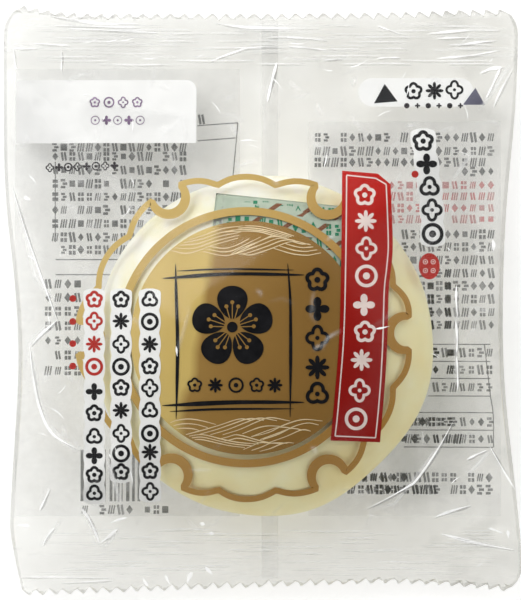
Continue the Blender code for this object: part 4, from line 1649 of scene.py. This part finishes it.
# Painted shade: beside each long fold a soft grey streak is laid on the film, standing for the shade on the
# fold's far side.
painted_shade_ink = wash_finish("painted fold shade", (0.35, 0.35, 0.34), 0.16)
long_folds = [
    (width, path) for width, path in FOLD_GLINT_MARKS if math.dist(path[0], path[-1]) > SHADED_FOLD
]
painted_shade_paths = [np.array(path) + np.array([0.25, -0.22]) for _, path in long_folds]
painted_shade_widths = [min(0.8 * width + 0.25, 0.55) for width, _ in long_folds]
painted_fold_shades = strokes(painted_shade_paths, 1.0, 0.6, painted_shade_ink, taper=0.95, wobble=0.4, seed=9, weights=painted_shade_widths)
laid(painted_fold_shades, "painted_fold_shades", front_map, 0.02 * MM, painted_shade_ink)

# The jaws' ribs: where a rib has bitten, a fine white line across the seal is a painted highlight
# and a grey one under it is painted shade. They come and go along each seal, as the jaws never press evenly.
RIB_ROWS = [(48.6 + 0.78 * i, 1.0) for i in range(11)] + [(-55.8 + 0.8 * i, 0.6) for i in range(12)]
rib_draw = np.random.default_rng(41)
rib_paths, rib_widths = [], []
for rib_y, strength in RIB_ROWS:
    x = -47.0 + rib_draw.uniform(0, 14)
    while x < 44:
        length = rib_draw.uniform(5, 20)
        end_x = min(x + length, 47.5)
        bow = rib_draw.uniform(-0.25, 0.25)
        rib_paths.append(np.array([(x, rib_y), ((x + end_x) / 2, rib_y + bow), (end_x, rib_y + 0.3 * bow)]))
        rib_widths.append(strength * rib_draw.uniform(0.08, 0.24))
        x = end_x + rib_draw.uniform(2, 18)
rib_highlight_ink = wash_finish("rib painted highlight", (1.0, 1.0, 0.995), 0.75)
rib_highlights = strokes(rib_paths, 1.0, 0.8, rib_highlight_ink, taper=0.8, wobble=0.3, seed=15, weights=rib_widths)
laid(rib_highlights, "rib_highlights", front_map, 0.05 * MM, rib_highlight_ink)
rib_painted_shade_paths = [path + np.array([0.3, -0.36]) for path in rib_paths]
rib_painted_shade_ink = wash_finish("rib painted shade", (0.40, 0.40, 0.38), 0.11)
rib_painted_shades = strokes(
    rib_painted_shade_paths, 1.0, 0.8, rib_painted_shade_ink, taper=0.8, wobble=0.3, seed=16, weights=rib_widths
)
laid(rib_painted_shades, "rib_painted_shades", front_map, 0.02 * MM, rib_painted_shade_ink)

# The bun: a ball of soft dough round sweet bean paste, steamed so that its skin sets smooth
# and pale. It sits on its flat foot with its domed side under the print.
BUN_MIDDLE = (0.24, -9.3)
BUN_RADIUS = 34.75
BUN_FLAT_DEPTH = 0.9
BUN_FLAT_AT = math.radians(-47)
BUN_FLAT_REACH = 0.3
BUN_BELT_Z = 8.3
BUN_TOP_Z = 23.1
BUN_FOOT_RADIUS = 26.5
BUN_FOOT_Z = 0.35
BUN_DOME_POWER = 2.4
BUN_SEGMENTS = 220


def bun_skin_z(x, y):
    """Height of the bun's upper skin in millimetres."""
    out = np.hypot(x - BUN_MIDDLE[0], y - BUN_MIDDLE[1]) / BUN_RADIUS
    dome = np.sqrt(np.maximum(1 - np.minimum(out, 1) ** BUN_DOME_POWER, 0))
    return BUN_BELT_Z + (BUN_TOP_Z - BUN_BELT_Z) * dome


def bun_profile():
    """(radius, height) from the middle of the foot, round the belt, to the top."""
    foot = [(BUN_FOOT_RADIUS * s, BUN_FOOT_Z) for s in np.linspace(0, 1, 8)]
    rise = []
    for turn in np.linspace(0, math.pi / 2, 14)[1:]:
        radius = BUN_FOOT_RADIUS + (BUN_RADIUS - BUN_FOOT_RADIUS) * math.sin(turn)
        rise.append((radius, BUN_FOOT_Z + (BUN_BELT_Z - BUN_FOOT_Z) * (1 - math.cos(turn))))
    dome = []
    for share in np.linspace(0, 1, 44)[1:]:
        out = math.cos(share * math.pi / 2) ** 0.8
        height = math.sqrt(1 - out**BUN_DOME_POWER)
        dome.append((BUN_RADIUS * out, BUN_BELT_Z + (BUN_TOP_Z - BUN_BELT_Z) * height))
    return foot + rise + dome


def bun_mesh():
    """Rings of the profile, a little out of round and dimpled, flattened at the lower right."""
    draw = np.random.default_rng(41)
    profile = bun_profile()
    turns = np.arange(BUN_SEGMENTS) * 2 * math.pi / BUN_SEGMENTS
    uneven = sum(
        draw.uniform(0.0008, 0.0025) * np.sin(k * turns + draw.uniform(0, 6.3)) for k in (2, 3, 5, 7, 11)
    )
    points = [(BUN_MIDDLE[0], BUN_MIDDLE[1], BUN_FOOT_Z)]
    from_flat = (turns - BUN_FLAT_AT + math.pi) % (2 * math.pi) - math.pi
    flat = BUN_FLAT_DEPTH * bump(from_flat, BUN_FLAT_REACH)
    for radius, z in profile[1:-1]:
        reach = radius * (1 + uneven) - flat * (radius / BUN_RADIUS) ** 2
        dimples = 0.05 * np.sin(turns * 9 + radius) * np.sin(radius * 0.8)
        xs = BUN_MIDDLE[0] + reach * np.cos(turns)
        ys = BUN_MIDDLE[1] + reach * np.sin(turns)
        zs = np.maximum(z + dimples * (z > BUN_FOOT_Z + 0.5), BUN_FOOT_Z)
        points += list(zip(xs, ys, zs))
    points.append((BUN_MIDDLE[0], BUN_MIDDLE[1], BUN_TOP_Z))
    ring_count = len(profile) - 2
    faces = []
    for i in range(BUN_SEGMENTS):
        j = (i + 1) % BUN_SEGMENTS
        faces.append((0, 1 + j, 1 + i))
        last = 1 + (ring_count - 1) * BUN_SEGMENTS
        faces.append((len(points) - 1, last + i, last + j))
        for ring in range(ring_count - 1):
            a, b = 1 + ring * BUN_SEGMENTS, 1 + (ring + 1) * BUN_SEGMENTS
            faces.append((a + i, a + j, b + j, b + i))
    return np.array(points) * MM, faces


def dough_finish():
    """Steamed dough: pale cream, a little yellower in patches, with a fine soft grain; painted light makes
    it whiter to the upper left and painted shade yellower to the lower right.
    """
    material, nodes, links, surface = new_finish("steamed dough")
    body = nodes.new("ShaderNodeBsdfPrincipled")
    set_inputs(body, Roughness=0.55, Subsurface_Weight=0.12, Subsurface_Scale=0.004)
    body.inputs["Subsurface Radius"].default_value = (1.0, 0.7, 0.4)
    tones = [
        (0.05, (0.88, 0.75, 0.36)), (0.35, (0.92, 0.85, 0.51)), (0.6, (0.95, 0.91, 0.65)),
        (0.78, (0.98, 0.975, 0.88)),
    ]
    # Painted light: the dough's tone runs whiter to the upper left and yellower to the lower right.
    painted_shade_to_lower_right = slope_over_pack(nodes, links, math.radians(-62), -0.031, 0.041)
    lifted = maths(nodes, links, "ADD", noise_at(nodes, links, 11 * MM, 4), 0.3)
    tone = maths(nodes, links, "MULTIPLY_ADD", painted_shade_to_lower_right, -0.6, lifted)
    links.new(ramp(nodes, links, tone, tones), body.inputs["Base Color"])
    grain = relief(nodes, links, noise_at(nodes, links, 1.3 * MM, 5), 0.10 * MM, 0.6)
    links.new(grain, body.inputs["Normal"])
    links.new(body.outputs["BSDF"], surface)
    return material


bun_points, bun_faces = bun_mesh()
bun = new_piece("steamed_bun", bun_points, bun_faces, dough_finish())
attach(bun, "root")

# The sachet: a flat pale green paper packet of iron powder that takes up the oxygen. It has
# crimped ends and lies across the bun's upper shoulder, held there by the film.
SACHET_MIDDLE = (7.4, 10.6)
SACHET_SIZE = (36.0, 19.0)
SACHET_TURN = math.radians(-6)
SACHET_BULGE = 1.6
CRIMP_SHARE = 2.2 / (SACHET_SIZE[0] / 2)


def sachet_place(u, v):
    """From -1 to 1 along and across the sachet to its place on the pack, in millimetres."""
    x, y = u * SACHET_SIZE[0] / 2, v * SACHET_SIZE[1] / 2
    c, s = math.cos(SACHET_TURN), math.sin(SACHET_TURN)
    return SACHET_MIDDLE[0] + x * c - y * s, SACHET_MIDDLE[1] + x * s + y * c


def sachet_height(x, y, lift):
    """Lift above the bun where it bears the sachet, and never through the film."""
    lowest = bun_skin_z(x, y) + 0.25
    ceiling = sampled(front_map, x * MM, y * MM) / MM - 0.5
    return np.minimum(lowest + lift, np.maximum(ceiling - 0.3 + lift * 0.15, lowest))


def sachet_belly(u, v):
    """How far the filling plumps the sachet: 0 at its edges and crimps, 1 in the middle."""
    return ease((1 - np.abs(u) - CRIMP_SHARE) / 0.25) * ease((1 - np.abs(v)) / 0.45)


def sachet_mesh():
    """The packet's upper and under side, joined round the border, with ribbed crimps."""
    columns, rows = 72, 34
    u = np.linspace(-1, 1, columns + 1)[None, :].repeat(rows + 1, 0)
    v = np.linspace(-1, 1, rows + 1)[:, None].repeat(columns + 1, 1)
    x, y = sachet_place(u, v)
    ribs = 0.10 * np.cos(v * 40) * (np.abs(u) > 1 - CRIMP_SHARE)
    top = sachet_height(x, y, 0.25 + SACHET_BULGE * sachet_belly(u, v) + ribs)
    under = sachet_height(x, y, 0.0)
    under = np.minimum(under, top - 0.12)
    border = (np.abs(u) == 1) | (np.abs(v) == 1)
    size = x.size
    front = np.arange(size).reshape(x.shape)
    points = list(zip(x.ravel(), y.ravel(), top.ravel()))
    back = front.copy()
    for r, c in zip(*np.nonzero(~border)):
        back[r, c] = len(points)
        points.append((x[r, c], y[r, c], under[r, c]))
    faces = []
    for r in range(rows):
        for c in range(columns):
            faces.append((front[r, c], front[r, c + 1], front[r + 1, c + 1], front[r + 1, c]))
            faces.append((back[r, c], back[r + 1, c], back[r + 1, c + 1], back[r, c + 1]))
    return np.array(points) * MM, faces


paper = ink_finish("sachet paper", (0.46, 0.54, 0.44), 0.45, 0.08)
sachet_points, sachet_faces = sachet_mesh()
sachet = new_piece("sachet", sachet_points, sachet_faces, paper)
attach(sachet, "root")

# The sachet's print: slanting brown bars and rows of short green hatches, inked on the front
# of the paper before it is filled. Both follow its swelling.
BAR_LEAN = 1.25
BAR_RISE = 1.1
from_x, from_y = grid_x / MM - SACHET_MIDDLE[0], grid_y / MM - SACHET_MIDDLE[1]
c, s = math.cos(-SACHET_TURN), math.sin(-SACHET_TURN)
local_u = (from_x * c - from_y * s) / (SACHET_SIZE[0] / 2)
local_v = (from_x * s + from_y * c) / (SACHET_SIZE[1] / 2)
plumpness = 0.25 + SACHET_BULGE * sachet_belly(local_u, local_v)
sachet_map = sachet_height(grid_x / MM, grid_y / MM, plumpness) * MM


def on_sachet(points):
    return [sachet_place(x / (SACHET_SIZE[0] / 2), y / (SACHET_SIZE[1] / 2)) for x, y in points]


brown = ink_finish("brown ink", (0.22, 0.085, 0.04))
bars = Drawing()
green_lines, green_edges = [], []
for row, y in enumerate(np.arange(7.6, -8.0, -3.1)):
    for x in np.arange(-17.5 + 3.4 * (row % 2), 14, 6.8):
        foot = [(x + 3.9 - BAR_LEAN, y - BAR_RISE), (x + 5.2 - BAR_LEAN, y - BAR_RISE)]
        head = [(x + 5.2 + BAR_LEAN, y + BAR_RISE), (x + 3.9 + BAR_LEAN, y + BAR_RISE)]
        if x > -15 and x + 5.2 < 15:
            panel(bars, on_sachet(foot + head), rings=2)
        if x > -15.6 and x + 3.2 < 16:
            green_edges.append((len(green_lines), len(green_lines) + 1))
            green_lines += on_sachet([(x - 0.7, y - 0.1), (x + 2.9, y + 0.1)])
laid(bars, "sachet_bars", sachet_map, 0.05 * MM, brown)

green = ink_finish("green ink", (0.02, 0.22, 0.11))
values = {"Pitch": 1.5, "Height": 2.8, "Kept Share": 1.0, "Seed": 3, "Ink": green}
green_print = Drawing()
green_print.add(*grown("green lines", green_lines, green_edges, {}, DASHES, **values))
laid(green_print, "sachet_dashes", sachet_map, 0.05 * MM, green)

# The sachet's left crimp: paper pressed shut against its foil lining, which shows through
# grey, with the bright line where the crimp begins.
foil = ink_finish("crimped foil", (0.36, 0.38, 0.37), 0.5, 0.3)
strip = Drawing()
panel(strip, on_sachet([(-17.8, -9.3), (-16.4, -9.3), (-16.4, 9.3), (-17.8, 9.3)]), rings=2)
laid(strip, "sachet_crimp", sachet_map, 0.04 * MM, foil)
bright = ink_finish("crimp line", (0.85, 0.86, 0.86), 0.4)
crimp_line = Drawing()
panel(crimp_line, on_sachet([(-16.3, -9.3), (-16.05, -9.3), (-16.05, 9.3), (-16.3, 9.3)]), rings=2)
laid(crimp_line, "sachet_crimp_line", sachet_map, 0.06 * MM, bright)

# The stage: a plain white table, one soft key light from the upper left, pale walls all round
# under a dim ceiling, and a camera straight above the pack.
TABLE_GLOW = 0.34
TABLE_DROP = 0.3 * MM
KEY_PLACE = (-0.64, 0.64, 1.07)
KEY_SIZE = 0.8
KEY_POWER = 7.5
WALL_LIGHT = 1.12
WALL_LEAN = (0.06, 0.34, 0.0)
CEILING_LIGHT = 0.04
TABLE_SIZE = 3.0
CAMERA_HEIGHT = 2.0
CAMERA_PLACE = (-0.46 * MM, 0.1 * MM)
VIEW_HEIGHT = 123.0 * MM
VIEW_PLANE = 6 * MM

table_finish, table_nodes, table_links, table_surface = new_finish("table")
table_body = table_nodes.new("ShaderNodeBsdfPrincipled")
set_inputs(table_body, Base_Color=(0.92, 0.92, 0.92, 1), Roughness=0.8)
table_body.inputs["Emission Color"].default_value = (1, 1, 1, 1)
table_body.inputs["Emission Strength"].default_value = TABLE_GLOW
table_links.new(table_body.outputs["BSDF"], table_surface)
half = TABLE_SIZE / 2
table_corners = [(-half, -half), (half, -half), (half, half), (-half, half)]
table_points = [(x, y, -TABLE_DROP) for x, y in table_corners]
table = new_piece("table", table_points, [(0, 1, 2, 3)], table_finish)

key_light = bpy.data.lights.new("key softbox", "AREA")
key_light.shape = "RECTANGLE"
key_light.size = KEY_SIZE
key_light.size_y = KEY_SIZE
key_light.energy = KEY_POWER
key = bpy.data.objects.new("key softbox", key_light)
key.location = KEY_PLACE
key.rotation_euler = (-Vector(KEY_PLACE)).to_track_quat("-Z", "Y").to_euler()
bpy.context.scene.collection.objects.link(key)

world = bpy.data.worlds.new("studio")
world.use_nodes = True
world_nodes, world_links = world.node_tree.nodes, world.node_tree.links
heading = world_nodes.new("ShaderNodeTexCoord")
height = world_nodes.new("ShaderNodeSeparateXYZ")
world_links.new(heading.outputs["Generated"], height.inputs["Vector"])
dim_above = world_nodes.new("ShaderNodeMapRange")
dim_above.interpolation_type = "SMOOTHSTEP"
set_inputs(dim_above, From_Min=0.60, From_Max=0.90, To_Min=WALL_LIGHT, To_Max=CEILING_LIGHT)
world_links.new(height.outputs["Z"], dim_above.inputs["Value"])
brighter_side = world_nodes.new("ShaderNodeVectorMath")
brighter_side.operation = "DOT_PRODUCT"
brighter_side.inputs[1].default_value = WALL_LEAN
world_links.new(heading.outputs["Generated"], brighter_side.inputs[0])
lean = maths(world_nodes, world_links, "ADD", brighter_side.outputs["Value"], 1.0)
wall = maths(world_nodes, world_links, "MULTIPLY", dim_above.outputs["Result"], lean)
world_links.new(wall, world_nodes["Background"].inputs["Strength"])
world_nodes["Background"].inputs["Color"].default_value = (1.0, 1.0, 0.99, 1)
bpy.context.scene.world = world
bpy.context.scene.view_settings.view_transform = "Standard"
bpy.context.scene.view_settings.look = "None"

camera_data = bpy.data.cameras.new("camera")
camera_data.sensor_fit = "VERTICAL"
camera_data.angle = 2 * math.atan(VIEW_HEIGHT / 2 / (CAMERA_HEIGHT - VIEW_PLANE))
camera_data.clip_start = 0.05
camera = bpy.data.objects.new("camera", camera_data)
camera.location = (*CAMERA_PLACE, CAMERA_HEIGHT)
bpy.context.scene.collection.objects.link(camera)
bpy.context.scene.camera = camera

bpy.context.view_layer.update()
